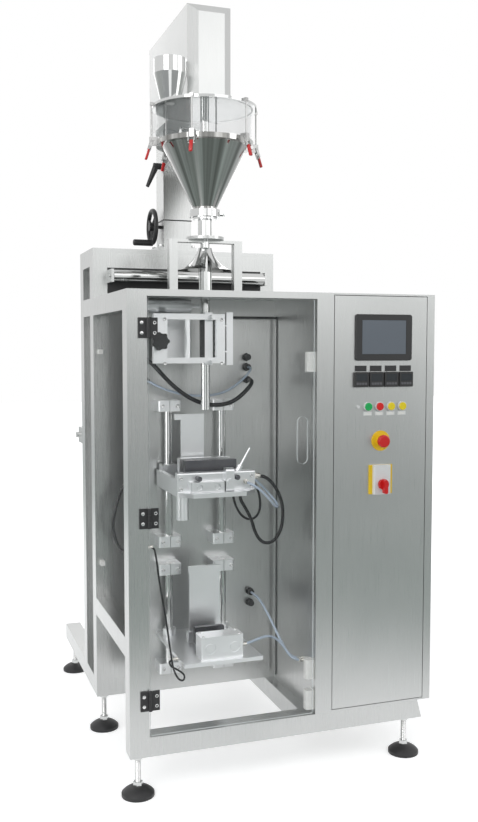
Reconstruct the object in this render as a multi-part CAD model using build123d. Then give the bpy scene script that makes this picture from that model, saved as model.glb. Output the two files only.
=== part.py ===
"""Vertical bagging machine for powders, with an auger filler on a column above it.

A tube frame carries a closed cabinet on the right and a working bay on the left behind a
clear door. A portal at the rear carries a column with the auger head and its hopper. Powder
falls through the auger tube into a forming tube. A sealing bar and a pair of jaws on guide
shafts close the bag below it.

Machine coordinates: x to the right from the frame's left side, y to the rear from the
frame's front, z up from the floor. The last section moves every piece so that the origin
lies on the floor, in the middle of the machine. Millimetres.
"""
import os
from math import cos, pi, radians, sin, tan

from build123d import *

# Fits between moving pieces
RUN_FIT = 0.05
FREE_GAP = 0.6

# Base frame
FOOT_HEIGHT = 125.0
TUBE = 60.0
TUBE_WALL = 3.0
VENT_R = 3.0
FRAME_HEIGHT = 1395.0
BAY_WIDTH = 600.0
BEAM_LENGTH = 985.0
BEAM_SLOPE = 16.0
BAY_LEDGE = 35.0
SIDE_RAIL_LIFT = 295.0
TOP_BAR = 20.0
SHEET = 3.0
DECK_SHEET = 8.0
PORTAL_Y = 530.0
PORTAL_DEPTH = 250.0
PORTAL_WIDTH = 660.0
PORTAL_RISE = 170.0
PORTAL_HEIGHT = FRAME_HEIGHT + PORTAL_RISE
PORTAL_PLATE = 15.0
REAR_END = 1240.0
BACK_PLATE_Y = 364.0
BACK_PLATE = 6.0
BACK_PLATE_X = 80.0
STANDOFF_R = 12.0
FILM_ARM = 24.0
FILM_ARM_LIFT = FRAME_HEIGHT * 0.638
FILM_ARM_REACH = 190.0
WINDOW = 5.0

# Feet
PAD_R = 50.0
PAD_H = 30.0
STUD_R = 8.0
NUT_R = 15.0
NUT_H = 13.0

# Clear front door
DOOR_GAP = 3.5
DOOR_THICK = 8.0
DOOR_EDGE_GAP = 8.0
SLOT_W = 34.0
SLOT_H = 147.0
SLOT_INSET = 47.0
SLOT_LIFT = FRAME_HEIGHT * 0.672
HINGE_W = 58.0
HINGE_H = 60.0
LEAF = 5.0
KNUCKLE_R = 6.0
PIN_R = 3.0
HINGE_INSET = 113.0
HINGE_LIFTS = (TUBE + HINGE_INSET, FRAME_HEIGHT * 0.518, FRAME_HEIGHT - HINGE_INSET)
CATCH = 28.0
CATCH_H = 62.0
CATCH_INSET = 13.0
CATCH_DROP = 214.0
LOW_CATCH_LIFT = TUBE + CATCH_INSET + CATCH_H / 2
CATCH_LIFTS = (LOW_CATCH_LIFT, LOW_CATCH_LIFT + 1.6 * CATCH_H, FRAME_HEIGHT - CATCH_DROP)

# Control cabinet and its door
CABINET_WIDTH = 415.0
CABINET_DEPTH = 470.0
LEFT_STRIP = 57.0
RIGHT_STRIP = 27.0
RIM = 6.0
CAB_DOOR_GAP = 2.0
CAB_DOOR_DEPTH = 18.0
CAB_PIN_R = 2.0
CAB_PIN_IN = 6.0
CAB_PIN_BACK = 4.6

# Things on the cabinet door, one below the other from the top, measured from the beam's underside
SCREEN_W = 200.0
SCREEN_H = 146.0
SCREEN_D = 7.0
SCREEN_TOP_GAP = 65.0
SCREEN_LIFT = FRAME_HEIGHT - SCREEN_TOP_GAP - SCREEN_H / 2
GAUGE = 48.0
GAUGE_PITCH = 53.0
GAUGE_D = 9.0
LABEL_H = 18.0
GAUGE_GAP = 16.0
GAUGE_LIFT = SCREEN_LIFT - SCREEN_H / 2 - GAUGE_GAP - LABEL_H - 2 - GAUGE / 2
BUTTON_PITCH = 40.6
BUTTON_R = 12.5
BEZEL_R = 14.5
BEZEL_H = 7.0
BUTTON_OUT = 11.0
BUTTON_GAP = 47.5
PLATE_H = 12.0
BUTTON_LIFT = GAUGE_LIFT - GAUGE / 2 - BUTTON_GAP - BEZEL_R
ESTOP_DISC_R = 32.5
ESTOP_HEAD_R = 20.0
ESTOP_STEM_R = 9.0
ESTOP_GAP = 49.0
ESTOP_LIFT = BUTTON_LIFT - BEZEL_R - PLATE_H - 2 - ESTOP_GAP - ESTOP_DISC_R
ISOLATOR_W = 82.0
ISOLATOR_H = 94.0
ISOLATOR_KNOB_R = 17.0
ISOLATOR_DROP = 14.0
ISOLATOR_GAP = 44.5
ISOLATOR_LIFT = ESTOP_LIFT - ESTOP_DISC_R - ISOLATOR_GAP - ISOLATOR_H / 2
ISOLATOR_PLATE = 4.0
ISOLATOR_BLOCK = 14.0
ISOLATOR_KNOB_H = 10.0
ISOLATOR_GRIP = 15.4
ISOLATOR_REACH = ISOLATOR_PLATE + ISOLATOR_BLOCK + FREE_GAP + ISOLATOR_KNOB_H + ISOLATOR_GRIP
GEAR_INSET = 40.0
GEAR_RAIL = 15.0

# Auger head
AXIS_Y = 205.0
COLUMN = 100.0
COLUMN_WALL = 8.0
COLUMN_BASE_H = 103.0
FLANGE_T = 12.0
FLANGE_OVER = 20.0
LID_RISE = 405.0
LID_T = 8.0
LID_R = 165.0
GLASS_R = 152.5
GLASS_WALL = 5.0
GLASS_H = 100.0
RING_T = 15.0
RING_R = 154.0
CONE_TOP_R = 133.0
CONE_LOW_R = 38.5
CONE_H = 188.0
CONE_WALL = 2.0
CLAMP_R = 49.0
CLAMP_H = 38.0
AUGER_SLEEVE_R = 22.0
AUGER_TUBE_R = 12.0
AUGER_TUBE_WALL = 0.8
AUGER_GAP = 0.6
AUGER_SHAFT_R = 6.0
AUGER_PITCH = 30.0
FLIGHT_T = 2.5
HEAD_W = 140.0
HEAD_LEAD = 75.0
HEAD_OVER = 10.0
HEAD_H = 297.0
HEAD_BEVEL = 28.0
HEAD_WALL = 3.0
FUNNEL_X = 122.0
FUNNEL_Y = 40.0
FUNNEL_LOW_R = 31.0
FUNNEL_TOP_R = 50.0
FUNNEL_CONE_H = 80.0
FUNNEL_H = 125.0
FUNNEL_HOLE_R = 17.0
HUB_R = 14.0
ARM_R = 4.0
LATCHES = 6
LATCH_ANGLE = 30.0
LATCH_W = 14.0
HOOK_W = 10.0
LATCH_H = 25.0
LATCH_PIN_R = 2.5
LATCH_HANDLE = 58.0
LATCH_LEAN = 18.0
ROD_R = 2.5
WHEEL_R = 56.0
WHEEL_RIM_R = 7.5
WHEEL_OUT = 28.0
GRIP_R = 11.0
GRIP_L = 62.0
WHEEL_SHAFT_R = 6.0
LEVER_DROP = 108.0
LEVER_R = 11.0
LEVER_TIP_R = 6.0
LEVER_LENGTH = 80.0
MOTOR_SIDE = 84.0
BEARING_H = 110.0
SERVO_H = 145.0
GEAR_H = 60.0
MOTOR_R = 40.0
MOTOR_H = 150.0

# Forming set
FORM_TUBE_R = 14.5
FORM_TUBE_WALL = 1.5
FORM_TUBE_DROP = 369.0
SKIRT_R = 21.5
COLLAR_R = 84.0
COLLAR_LIFT = FRAME_HEIGHT + 75
COLLAR_H = 70.0
BRACKET_HALF = 107.0
BRACKET_POST = 27.0
BRACKET_PLATE = 9.0
BRACKET_SEAT_R = 60.0

# Sealing set
SHAFT_R = 13.0
SHAFT_HALF = 93.0
SHAFT_Y = 320.0
SUPPORT_W = 76.0
SUPPORT_H = 36.0
SUPPORT_FRONT = 298.0
SUPPORT_SHARES = (0.099, 0.3384, 0.405, 0.7283)
SUPPORT_LIFTS = tuple(FRAME_HEIGHT * share for share in SUPPORT_SHARES)
SET_WIDTH = 254.0
CARRIAGE_LIFT = FRAME_HEIGHT * 0.549
CARRIAGE_PLATE = 14.0
CARRIAGE_FRONT = 88.0
CARRIAGE_SIDE = 34.0
CHEEK_H = 40.0
GUIDE_T = 24.0
APRON = 42.0
STOP_BLOCK = (108.0, 25.0, 32.0)
ROCKER = (28.0, 27.0, 72.0)
PULL_PLATE = 6.0
PULL_RISE = 211.0
JAW_W = 170.0
JAW_H = 60.0
JAW_T = 28.0
JAW_OPEN = 37.0
JAW_ROD_R = 8.0
JAW_ROD_HALF = 62.0
JAW_ROD_OUT = 25.0
TRAY_RISE = 115.0
TRAY_LIFT = SUPPORT_LIFTS[0] + TRAY_RISE
TRAY_PLATE = 12.0
TRAY_FRONT = 12.0
GRIP_BLOCK_W = 138.0
GRIP_BLOCK_D = 65.0
GRIP_BLOCK_H = 70.0
GRIP_PLATE_W = 104.0
GRIP_PLATE_H = 250.0
GRIP_ROD_R = 6.0
GRIP_ROD_HALF = 40.0
GRIP_PAD_H = 56.0
GRIP_PAD_T = 15.0
GRIP_OPEN = 38.0
SEAL_BAR_LIFTS = (FRAME_HEIGHT - 219, FRAME_HEIGHT - 83)
SEAL_BAR_H = 18.0
SEAL_BAR_Y = 140.0
SEAL_BAR_T = 20.0
SEAL_LEFT = 142.0
SEAL_RIGHT = 45.0
SEAL_END_W = 28.0
SEAL_SIDE_W = 43.0
SEAL_ARM = 25.0
SEAL_PANEL_W = 112.0
SEAL_PANEL = 10.0
SEAL_ROD_R = 6.0
SEAL_PIN_R = 4.0
KNOB_R = 24.0
KNOB_H = 20.0
KNOB_SPINDLE_R = 5.0
AIR_CYL_R = 22.0
AIR_CYL_L = 176.0
AIR_CYL_FOOT = 14.0
ROLLER_R = 20.0
ROLLER_LIFT = FRAME_HEIGHT + 73
ROLLER_PIN_R = 6.0
ROLLER_Y = 478.0
MANDREL_R = 18.0
MANDREL_CONE_R = 42.0
MANDREL_CONE_L = 60.0
MANDREL_INSET = 150.0

# Hoses: outside radius
CONDUIT_R = 7.0
AIR_HOSE_R = 4.0
LOOP_R = 5.5
LEAD_R = 3.0
GLAND_L = 26.0
GLAND_R = 14.0

# Levels and places that follow from the sizes above
BASE_Z = FOOT_HEIGHT
DECK_Z = BASE_Z + TUBE
TOP_Z = BASE_Z + FRAME_HEIGHT
PORTAL_TOP = BASE_Z + PORTAL_HEIGHT
PORTAL_REAR = PORTAL_Y + PORTAL_DEPTH
AXIS_X = BAY_WIDTH / 2
CABINET_END = BAY_WIDTH + CABINET_WIDTH
FOOT_INSET = TUBE / 2
LID_Z = PORTAL_TOP + LID_RISE
LID_TOP = LID_Z + LID_T
LEVER_Z = LID_Z - LEVER_DROP
FORM_TUBE_END = TOP_Z - FORM_TUBE_DROP
RING_Z = LID_Z - GLASS_H
CONE_TOP_Z = RING_Z - RING_T
CONE_LOW_Z = CONE_TOP_Z - CONE_H
CLAMP_Z = CONE_LOW_Z - CLAMP_H
COLUMN_Y = PORTAL_Y + COLUMN / 2
SLEEVE_Z = PORTAL_TOP + COLUMN_BASE_H
HEAD_FRONT = AXIS_Y - HEAD_LEAD
HEAD_LENGTH = COLUMN_Y + COLUMN / 2 + HEAD_OVER - HEAD_FRONT
CARRIAGE_LOW = BASE_Z + CARRIAGE_LIFT
CARRIAGE_DECK = CARRIAGE_LOW + CARRIAGE_PLATE
CARRIAGE_X = (AXIS_X - SET_WIDTH / 2, AXIS_X + SET_WIDTH / 2)
TRAY_DECK = BASE_Z + TRAY_LIFT + TRAY_PLATE
LEFT_EXTENT = FOOT_INSET - PAD_R
CENTRE_X = (LEFT_EXTENT + CABINET_END) / 2
CENTRE_Y = (REAR_END - ISOLATOR_REACH) / 2
PANEL_X = BAY_WIDTH + LEFT_STRIP + (CABINET_WIDTH - LEFT_STRIP - RIGHT_STRIP) / 2

ALONG_X = (1, 0, 0)
ALONG_Y = (0, 1, 0)
ALONG_Z = (0, 0, 1)


def block(x, y, z):
    """A box between three pairs of coordinates."""
    middle = Pos((x[0] + x[1]) / 2, (y[0] + y[1]) / 2, (z[0] + z[1]) / 2)
    return middle * Box(x[1] - x[0], y[1] - y[0], z[1] - z[0])


def rod(start, along, radius, length):
    """A round bar that starts at a point and runs along a direction."""
    bar = Cylinder(radius, length, align=(Align.CENTER, Align.CENTER, Align.MIN))
    return Plane(origin=start, z_dir=along) * bar


def ring(start, along, outer, inner, length):
    """A round bar with a bore through it."""
    return rod(start, along, outer, length) - rod(start, along, inner, length)


def square_tube(x, y, z):
    """A capped square tube with a drain hole in its underside or rear."""
    w = TUBE_WALL
    inside = block((x[0] + w, x[1] - w), (y[0] + w, y[1] - w), (z[0] + w, z[1] - w))
    upright = z[1] - z[0] > max(x[1] - x[0], y[1] - y[0])
    if upright:
        vent = rod(((x[0] + x[1]) / 2, y[1] - 2 * w, z[0] + TUBE), ALONG_Y, VENT_R, 3 * w)
    else:
        vent = rod(((x[0] + x[1]) / 2, (y[0] + y[1]) / 2, z[0] - w), ALONG_Z, VENT_R, 3 * w)
    return block(x, y, z) - inside - vent


def hose(points, radius):
    """A hose of straight runs and arcs through hand-picked points."""
    points = [Vector(*p) for p in points]
    runs = [b - a for a, b in zip(points, points[1:])]
    radii = []
    for before, after in zip(runs, runs[1:]):
        turn = radians(before.get_angle(after))
        radii.append(0.45 * min(before.length, after.length) / tan(turn / 2))
    print("hose bend radii", [round(r) for r in radii])
    path = FilletPolyline(*points, radius=radii)
    section = Plane(origin=points[0], z_dir=runs[0]) * Circle(radius)
    return sweep(section, path)


# Frame


def frame_tubes():
    """Welded base, posts, rails and rear portal, with the film arms at the back."""
    base = (BASE_Z, DECK_Z)
    beam = square_tube((TUBE, BEAM_LENGTH), (0, TUBE), base)
    corner = Polygon((BEAM_LENGTH, BASE_Z), (BEAM_LENGTH, DECK_Z), (BEAM_LENGTH - BEAM_SLOPE, DECK_Z),
                     align=None)
    beam -= Plane.XZ.offset(-2 * TUBE) * extrude(corner, 3 * TUBE)
    beam += block((BEAM_LENGTH - BEAM_SLOPE - 2 * TUBE_WALL, BEAM_LENGTH - BEAM_SLOPE), (0, TUBE), base)
    left = (0, TUBE)
    right = (PORTAL_WIDTH - TUBE, PORTAL_WIDTH)
    span = (TUBE, PORTAL_WIDTH - TUBE)
    front_post = (PORTAL_Y, PORTAL_Y + TUBE)
    rear_post = (PORTAL_REAR - TUBE, PORTAL_REAR)
    between = (PORTAL_Y + TUBE, PORTAL_REAR - TUBE)
    side = (TUBE, PORTAL_Y)
    under_plate = (PORTAL_TOP - PORTAL_PLATE - TUBE, PORTAL_TOP - PORTAL_PLATE)
    lower = (BASE_Z + SIDE_RAIL_LIFT, BASE_Z + SIDE_RAIL_LIFT + TUBE)
    pieces = [beam]
    pieces.append(square_tube(left, (0, TUBE), (BASE_Z, TOP_Z)))
    pieces.append(square_tube((BAY_WIDTH - BAY_LEDGE, BAY_WIDTH - BAY_LEDGE + TUBE), side, base))
    cabinet_rail = BEAM_LENGTH - BEAM_SLOPE - 4
    pieces.append(square_tube((cabinet_rail - TUBE, cabinet_rail), (TUBE, CABINET_DEPTH), base))
    pieces.append(square_tube(left, side, (TOP_Z - TUBE, TOP_Z)))
    pieces.append(square_tube(left, side, lower))
    pieces.append(square_tube(left, between, (TOP_Z - TUBE, TOP_Z)))
    for x in (left, right):
        pieces.append(square_tube(x, (PORTAL_Y, REAR_END), base))
        pieces.append(square_tube(x, between, (PORTAL_TOP - TUBE, PORTAL_TOP)))
        for y in (front_post, rear_post):
            pieces.append(square_tube(x, y, (DECK_Z, PORTAL_TOP)))
    for y in (front_post, rear_post):
        pieces.append(square_tube(span, y, under_plate))
        pieces.append(square_tube(span, y, base))
    arm = (BASE_Z + FILM_ARM_LIFT - TUBE / 2, BASE_Z + FILM_ARM_LIFT + TUBE / 2)
    seat = (PORTAL_REAR + FILM_ARM_REACH - TUBE / 2, BASE_Z + FILM_ARM_LIFT)
    for x in (left, right):
        middle = (x[0] + x[1]) / 2
        bar = block((middle - FILM_ARM / 2, middle + FILM_ARM / 2),
                    (PORTAL_REAR, PORTAL_REAR + FILM_ARM_REACH), arm)
        pieces.append(bar - rod((x[0], seat[0], seat[1]), ALONG_X, FILM_ARM / 2 + RUN_FIT, TUBE))
    return pieces


def sheet_panels():
    """Machine plate and deck of the bay, rear cover, portal plate and top bar."""
    inner = (BACK_PLATE_X, BAY_WIDTH)
    plate = block(inner, (BACK_PLATE_Y, BACK_PLATE_Y + BACK_PLATE), (DECK_Z, TOP_Z - TOP_BAR))
    cover = block((TUBE, PORTAL_WIDTH - TUBE), (PORTAL_Y, PORTAL_Y + SHEET),
                  (DECK_Z, PORTAL_TOP - PORTAL_PLATE - TUBE))
    bar = block((TUBE, BAY_WIDTH), (0, TOP_BAR), (TOP_Z - TOP_BAR, TOP_Z))
    deck = block((TUBE, BAY_WIDTH), (TOP_BAR, BACK_PLATE_Y + BACK_PLATE), (TOP_Z - DECK_SHEET, TOP_Z))
    deck -= rod((AXIS_X, AXIS_Y, TOP_Z - TUBE), ALONG_Z, FORM_TUBE_R, 2 * TUBE)
    web = block(inner, (BACK_PLATE_Y, BACK_PLATE_Y + BACK_PLATE),
                (TOP_Z - TOP_BAR, TOP_Z - DECK_SHEET))
    top = block((TUBE, PORTAL_WIDTH - TUBE), (PORTAL_Y, PORTAL_REAR),
                (PORTAL_TOP - PORTAL_PLATE, PORTAL_TOP))
    pieces = [plate + web, cover, bar, deck, top]
    for x in (BACK_PLATE_X + TUBE, BAY_WIDTH - TUBE):
        for z in (DECK_Z + 2 * TUBE, TOP_Z - 2 * TUBE):
            start = (x, BACK_PLATE_Y + BACK_PLATE, z)
            pieces.append(rod(start, ALONG_Y, STANDOFF_R, PORTAL_Y - BACK_PLATE_Y - BACK_PLATE))
    return pieces


def feet_places():
    """Middle of each levelling foot."""
    rear = REAR_END - 50
    right_rail = PORTAL_WIDTH - FOOT_INSET
    cabinet_foot = BEAM_LENGTH - BEAM_SLOPE - 4 - FOOT_INSET
    return [(FOOT_INSET, FOOT_INSET), (cabinet_foot, FOOT_INSET), (FOOT_INSET, PORTAL_Y + FOOT_INSET),
            (cabinet_foot, CABINET_DEPTH - FOOT_INSET), (FOOT_INSET, rear), (right_rail, rear)]


def foot_pads():
    """Round pads, domed up to the stud."""
    profile = Polyline((0, 0), (PAD_R, 0), (PAD_R, 10))
    profile += ThreePointArc((PAD_R, 10), (PAD_R * 0.72, PAD_H * 0.72), (STUD_R + 8, PAD_H))
    profile += Polyline((STUD_R + 8, PAD_H), (0, PAD_H), (0, 0))
    pad = revolve(Plane.XZ * make_face(profile), Axis.Z)
    return [Pos(x, y, 0) * pad for x, y in feet_places()]


def foot_studs():
    """Threaded studs with a nut under the frame and one on the pad."""
    stud = rod((0, 0, PAD_H), ALONG_Z, STUD_R, BASE_Z - PAD_H)
    nut = extrude(RegularPolygon(NUT_R, 6), NUT_H)
    stud += Pos(0, 0, BASE_Z - NUT_H) * nut
    stud += Pos(0, 0, PAD_H) * nut
    return [Pos(x, y, 0) * stud for x, y in feet_places()]


def side_window():
    """Clear guard between the left post and the portal."""
    middle = TUBE / 2
    lower = BASE_Z + SIDE_RAIL_LIFT + TUBE
    return [block((middle - WINDOW / 2, middle + WINDOW / 2), (TUBE, PORTAL_Y), (lower, TOP_Z - TUBE))]


def clips_and_catches():
    """Clips of the side window and catches of the front door."""
    outside = TUBE / 2 - WINDOW / 2
    lower = BASE_Z + SIDE_RAIL_LIFT + TUBE
    pieces = []
    for y in (TUBE + CATCH / 2, PORTAL_Y - CATCH / 2):
        for z in (lower + CATCH_H * 2, TOP_Z - TUBE - CATCH_H * 2):
            clip = block((outside - CATCH / 2, outside), (y - CATCH / 2, y + CATCH / 2), (z - 8, z + 8))
            pieces.append(clip)
    for lift in CATCH_LIFTS:
        z = BASE_Z + lift
        catch = block((BAY_WIDTH - CATCH, BAY_WIDTH), (DOOR_THICK + 1, DOOR_THICK + CATCH),
                      (z - CATCH_H / 2, z + CATCH_H / 2))
        pieces.append(fillet(catch.edges().filter_by(Axis.Z).group_by(Axis.X)[0], CATCH / 4))
    return pieces


# Clear front door on three hinges


def door_axis():
    """Place of the hinge pins in plan."""
    return (TUBE + DOOR_GAP / 2, -KNUCKLE_R)


def acrylic_door():
    """Clear sheet with an oblong finger slot."""
    low = DECK_Z + DOOR_GAP
    high = TOP_Z - TOP_BAR - DOOR_GAP
    right = BAY_WIDTH - DOOR_EDGE_GAP
    sheet = block((TUBE + DOOR_GAP, right), (0, DOOR_THICK), (low, high))
    slot = extrude(SlotOverall(SLOT_H, SLOT_W), 3 * DOOR_THICK)
    place = Pos(BAY_WIDTH - SLOT_INSET, 2 * DOOR_THICK, BASE_Z + SLOT_LIFT)
    sheet -= place * Rot(90, 0, 0) * Rot(0, 0, 90) * slot
    return [fillet(sheet.edges().filter_by(Axis.Y).group_by(Axis.X)[-1], 4)]


def hinge_leaf(side, z):
    """One leaf with its knuckles; side is -1 on the post and 1 on the door."""
    x, y = door_axis()
    plate = block(sorted((x + side * KNUCKLE_R * 0.5, x + side * HINGE_W / 2)), (-LEAF, 0),
                  (z - HINGE_H / 2, z + HINGE_H / 2))
    third = HINGE_H / 3
    middle = ring((x, y, z - third / 2), ALONG_Z, KNUCKLE_R, PIN_R + RUN_FIT, third)
    clear = rod((x, y, z - third / 2 - FREE_GAP), ALONG_Z, KNUCKLE_R + FREE_GAP, third + 2 * FREE_GAP)
    if side > 0:
        outer = rod((x, y, z - HINGE_H), ALONG_Z, KNUCKLE_R + FREE_GAP, 2 * HINGE_H)
        return plate - outer + middle + (plate & rod((x, y, z - third / 2), ALONG_Z, KNUCKLE_R * 2, third)
                                         - rod((x, y, z - HINGE_H), ALONG_Z, PIN_R + RUN_FIT, 2 * HINGE_H))
    knuckle = rod((x, y, z - HINGE_H / 2), ALONG_Z, KNUCKLE_R, HINGE_H) - clear
    pin = rod((x, y, z - HINGE_H / 2), ALONG_Z, PIN_R, HINGE_H)
    return plate - clear + knuckle + pin


def leaf_screws(side, z):
    """Two bright screw heads on a leaf."""
    x = door_axis()[0] + side * HINGE_W / 3
    return [rod((x, -LEAF, z + dz), (0, -1, 0), 5, 2) for dz in (-HINGE_H / 4, HINGE_H / 4)]


def fixed_hinge_leaves():
    """Leaves on the post, with the pins."""
    pieces = []
    for lift in HINGE_LIFTS:
        leaf = hinge_leaf(-1, BASE_Z + lift)
        for screw in leaf_screws(-1, BASE_Z + lift):
            leaf += screw
        pieces.append(leaf)
    return pieces


def moving_hinge_leaves():
    """Leaves on the clear door."""
    pieces = []
    for lift in HINGE_LIFTS:
        leaf = hinge_leaf(1, BASE_Z + lift)
        for screw in leaf_screws(1, BASE_Z + lift):
            leaf += screw
        pieces.append(leaf)
    return pieces


# Control cabinet


def cabinet_opening():
    """Door opening of the cabinet: x and z pairs."""
    return ((BAY_WIDTH + LEFT_STRIP, CABINET_END - RIGHT_STRIP), (DECK_Z + RIM, TOP_Z - RIM))


def cabinet_pin_x():
    """Middle of the pivot pins of the cabinet door."""
    return cabinet_opening()[0][1] - CAB_DOOR_GAP - CAB_PIN_IN


def cabinet_shell():
    """Folded sheet box, open at the front, with the two pivot pins of its door."""
    w = SHEET
    box = block((BAY_WIDTH, CABINET_END), (0, CABINET_DEPTH), (DECK_Z, TOP_Z))
    box -= block((BAY_WIDTH + w, CABINET_END - w), (w, CABINET_DEPTH - w), (DECK_Z + w, TOP_Z - w))
    x, z = cabinet_opening()
    box -= block(x, (-w, 2 * w), z)
    reach = CAB_DOOR_GAP + 2 * SHEET
    for seat, along in ((DECK_Z + RIM, 1), (TOP_Z - RIM, -1)):
        tab = block((cabinet_pin_x() - 2 * w, x[1] + w), (w, CAB_DOOR_DEPTH),
                    sorted((seat, seat - along * w)))
        pin = rod((cabinet_pin_x(), CAB_PIN_BACK, seat - along * w), (0, 0, along), CAB_PIN_R, reach)
        box += tab + pin
    return [box]


def control_gear():
    """Mounting plate inside the cabinet with drives and terminal rows."""
    back = CABINET_DEPTH - SHEET
    face = back - GEAR_RAIL
    x = (BAY_WIDTH + GEAR_INSET, CABINET_END - GEAR_INSET)
    z = (DECK_Z + 2 * GEAR_INSET, TOP_Z - 3 * GEAR_INSET)
    width = x[1] - x[0]
    height = z[1] - z[0]
    pieces = [block(x, (face, back), z)]
    drives = ((0.03, 0.27, 0.16, 0.32), (0.33, 0.27, 0.16, 0.32), (0.63, 0.33, 0.11, 0.17))
    for start, share, rise, depth in drives:
        left = x[0] + width * start
        low = z[0] + height * 0.64
        drive = block((left, left + width * share), (face - CABINET_DEPTH * depth, face),
                      (low, low + height * rise))
        pieces.append(drive)
    for share in (0.14, 0.33, 0.49):
        low = z[0] + height * share
        row = block((x[0] + GEAR_RAIL, x[1] - GEAR_RAIL), (face - 4 * GEAR_RAIL, face),
                    (low, low + height * 0.06))
        pieces.append(row)
    return pieces


def button_places():
    """Middle of each push button in x."""
    return [PANEL_X + BUTTON_PITCH * (i - 1.5) + 14 for i in range(4)]


def cabinet_door():
    """Folded door pan with the holes for what is fitted in it."""
    x, z = cabinet_opening()
    x = (x[0] + CAB_DOOR_GAP, x[1] - CAB_DOOR_GAP)
    z = (z[0] + CAB_DOOR_GAP, z[1] - CAB_DOOR_GAP)
    pan = block(x, (0, CAB_DOOR_DEPTH), z)
    pan -= block((x[0] + SHEET, x[1] - SHEET), (SHEET - 1, 2 * CAB_DOOR_DEPTH),
                 (z[0] + SHEET, z[1] - SHEET))
    pan -= rod((cabinet_pin_x(), CAB_PIN_BACK, BASE_Z), ALONG_Z, CAB_PIN_R + RUN_FIT, 2 * FRAME_HEIGHT)
    for place in button_places():
        pan -= rod((place, -TUBE, BASE_Z + BUTTON_LIFT), ALONG_Y, BUTTON_R + RUN_FIT, 2 * TUBE)
    pan -= rod((PANEL_X, -TUBE, BASE_Z + ESTOP_LIFT), ALONG_Y, ESTOP_STEM_R + RUN_FIT, 2 * TUBE)
    return [pan]


def touchscreen():
    """Operator screen in a bezel, its glass set back a little."""
    x = (PANEL_X + 7 - SCREEN_W / 2, PANEL_X + 7 + SCREEN_W / 2)
    z = (BASE_Z + SCREEN_LIFT - SCREEN_H / 2, BASE_Z + SCREEN_LIFT + SCREEN_H / 2)
    body = block(x, (-SCREEN_D, 0), z)
    body = fillet(body.edges().filter_by(Axis.Y), 8)
    body = chamfer(body.faces().sort_by(Axis.Y)[0].edges(), 1.5)
    body -= block((x[0] + 22, x[1] - 22), (-2 * SCREEN_D, -SCREEN_D + 1.2), (z[0] + 20, z[1] - 18))
    return [body]


def temperature_controllers():
    """Four square controllers with a label strip above each."""
    pieces = []
    for i in range(4):
        x = PANEL_X + 7 + GAUGE_PITCH * (i - 1.5)
        z = BASE_Z + GAUGE_LIFT
        case = block((x - GAUGE / 2, x + GAUGE / 2), (-GAUGE_D, 0), (z - GAUGE / 2, z + GAUGE / 2))
        case = fillet(case.edges().filter_by(Axis.Y), 3)
        case -= block((x - GAUGE * 0.4, x + GAUGE * 0.4), (-2 * GAUGE_D, -GAUGE_D + 1),
                      (z - GAUGE * 0.1, z + GAUGE * 0.38))
        pieces.append(case)
        strip = (z + GAUGE / 2 + 2, z + GAUGE / 2 + 2 + LABEL_H)
        pieces.append(block((x - GAUGE * 0.42, x + GAUGE * 0.42), (-1.5, 0), strip))
    return pieces


def button_bezels():
    """Bezel rings, blank label plates, pilot lamp and the isolator's front block."""
    z = BASE_Z + BUTTON_LIFT
    pieces = []
    for x in button_places():
        pieces.append(ring((x, 0, z), (0, -1, 0), BEZEL_R, BUTTON_R + RUN_FIT, BEZEL_H))
        low = z - BEZEL_R - 2 - PLATE_H
        pieces.append(block((x - BEZEL_R, x + BEZEL_R), (-1.5, 0), (low, low + PLATE_H)))
    pieces.append(rod((button_places()[0] - BUTTON_PITCH * 0.85, 0, z), (0, -1, 0), 5, 6))
    iso = BASE_Z + ISOLATOR_LIFT
    face = block((PANEL_X - ISOLATOR_W * 0.36, PANEL_X + ISOLATOR_W * 0.36),
                 (-ISOLATOR_PLATE - ISOLATOR_BLOCK, -ISOLATOR_PLATE),
                 (iso - ISOLATOR_H / 2, iso + ISOLATOR_H / 2))
    face -= rod((PANEL_X, -TUBE, iso - ISOLATOR_DROP), ALONG_Y, WHEEL_SHAFT_R + RUN_FIT, 2 * TUBE)
    pieces.append(fillet(face.edges().filter_by(Axis.Z).group_by(Axis.Y)[0], 4))
    return pieces


def yellow_plates():
    """Warning disc of the emergency stop and back plate of the isolator."""
    z = BASE_Z + ESTOP_LIFT
    hole = ESTOP_STEM_R + RUN_FIT
    disc = ring((PANEL_X, 0, z), (0, -1, 0), ESTOP_DISC_R, hole, 2)
    collar = ring((PANEL_X, -2, z), (0, -1, 0), ESTOP_STEM_R + 6, hole, 10)
    iso = BASE_Z + ISOLATOR_LIFT
    plate = block((PANEL_X - ISOLATOR_W / 2, PANEL_X + ISOLATOR_W / 2), (-ISOLATOR_PLATE, 0),
                  (iso - ISOLATOR_H / 2, iso + ISOLATOR_H / 2))
    plate -= rod((PANEL_X, -TUBE, iso - ISOLATOR_DROP), ALONG_Y, WHEEL_SHAFT_R + RUN_FIT, 2 * TUBE)
    return [disc + collar, plate]


def push_button(x):
    """Round cap that slides in its bezel, with a stop flange behind the door."""
    z = BASE_Z + BUTTON_LIFT
    cap = rod((x, -BUTTON_OUT, z), ALONG_Y, BUTTON_R, BUTTON_OUT + SHEET - 1)
    cap = fillet(cap.edges().sort_by(Axis.Y)[0], 2)
    return [cap + rod((x, SHEET - 1, z), ALONG_Y, BUTTON_R + 2, 3)]


def estop_head():
    """Mushroom head on a stem through the door."""
    z = BASE_Z + ESTOP_LIFT
    head = rod((PANEL_X, -17, z), (0, -1, 0), ESTOP_HEAD_R, 14)
    head = fillet(head.edges().group_by(Axis.Y)[0], 5)
    head += rod((PANEL_X, -17, z), ALONG_Y, ESTOP_STEM_R, 17 + SHEET - 1)
    return [head + rod((PANEL_X, SHEET - 1, z), ALONG_Y, ESTOP_STEM_R + 3, 3)]


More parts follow.
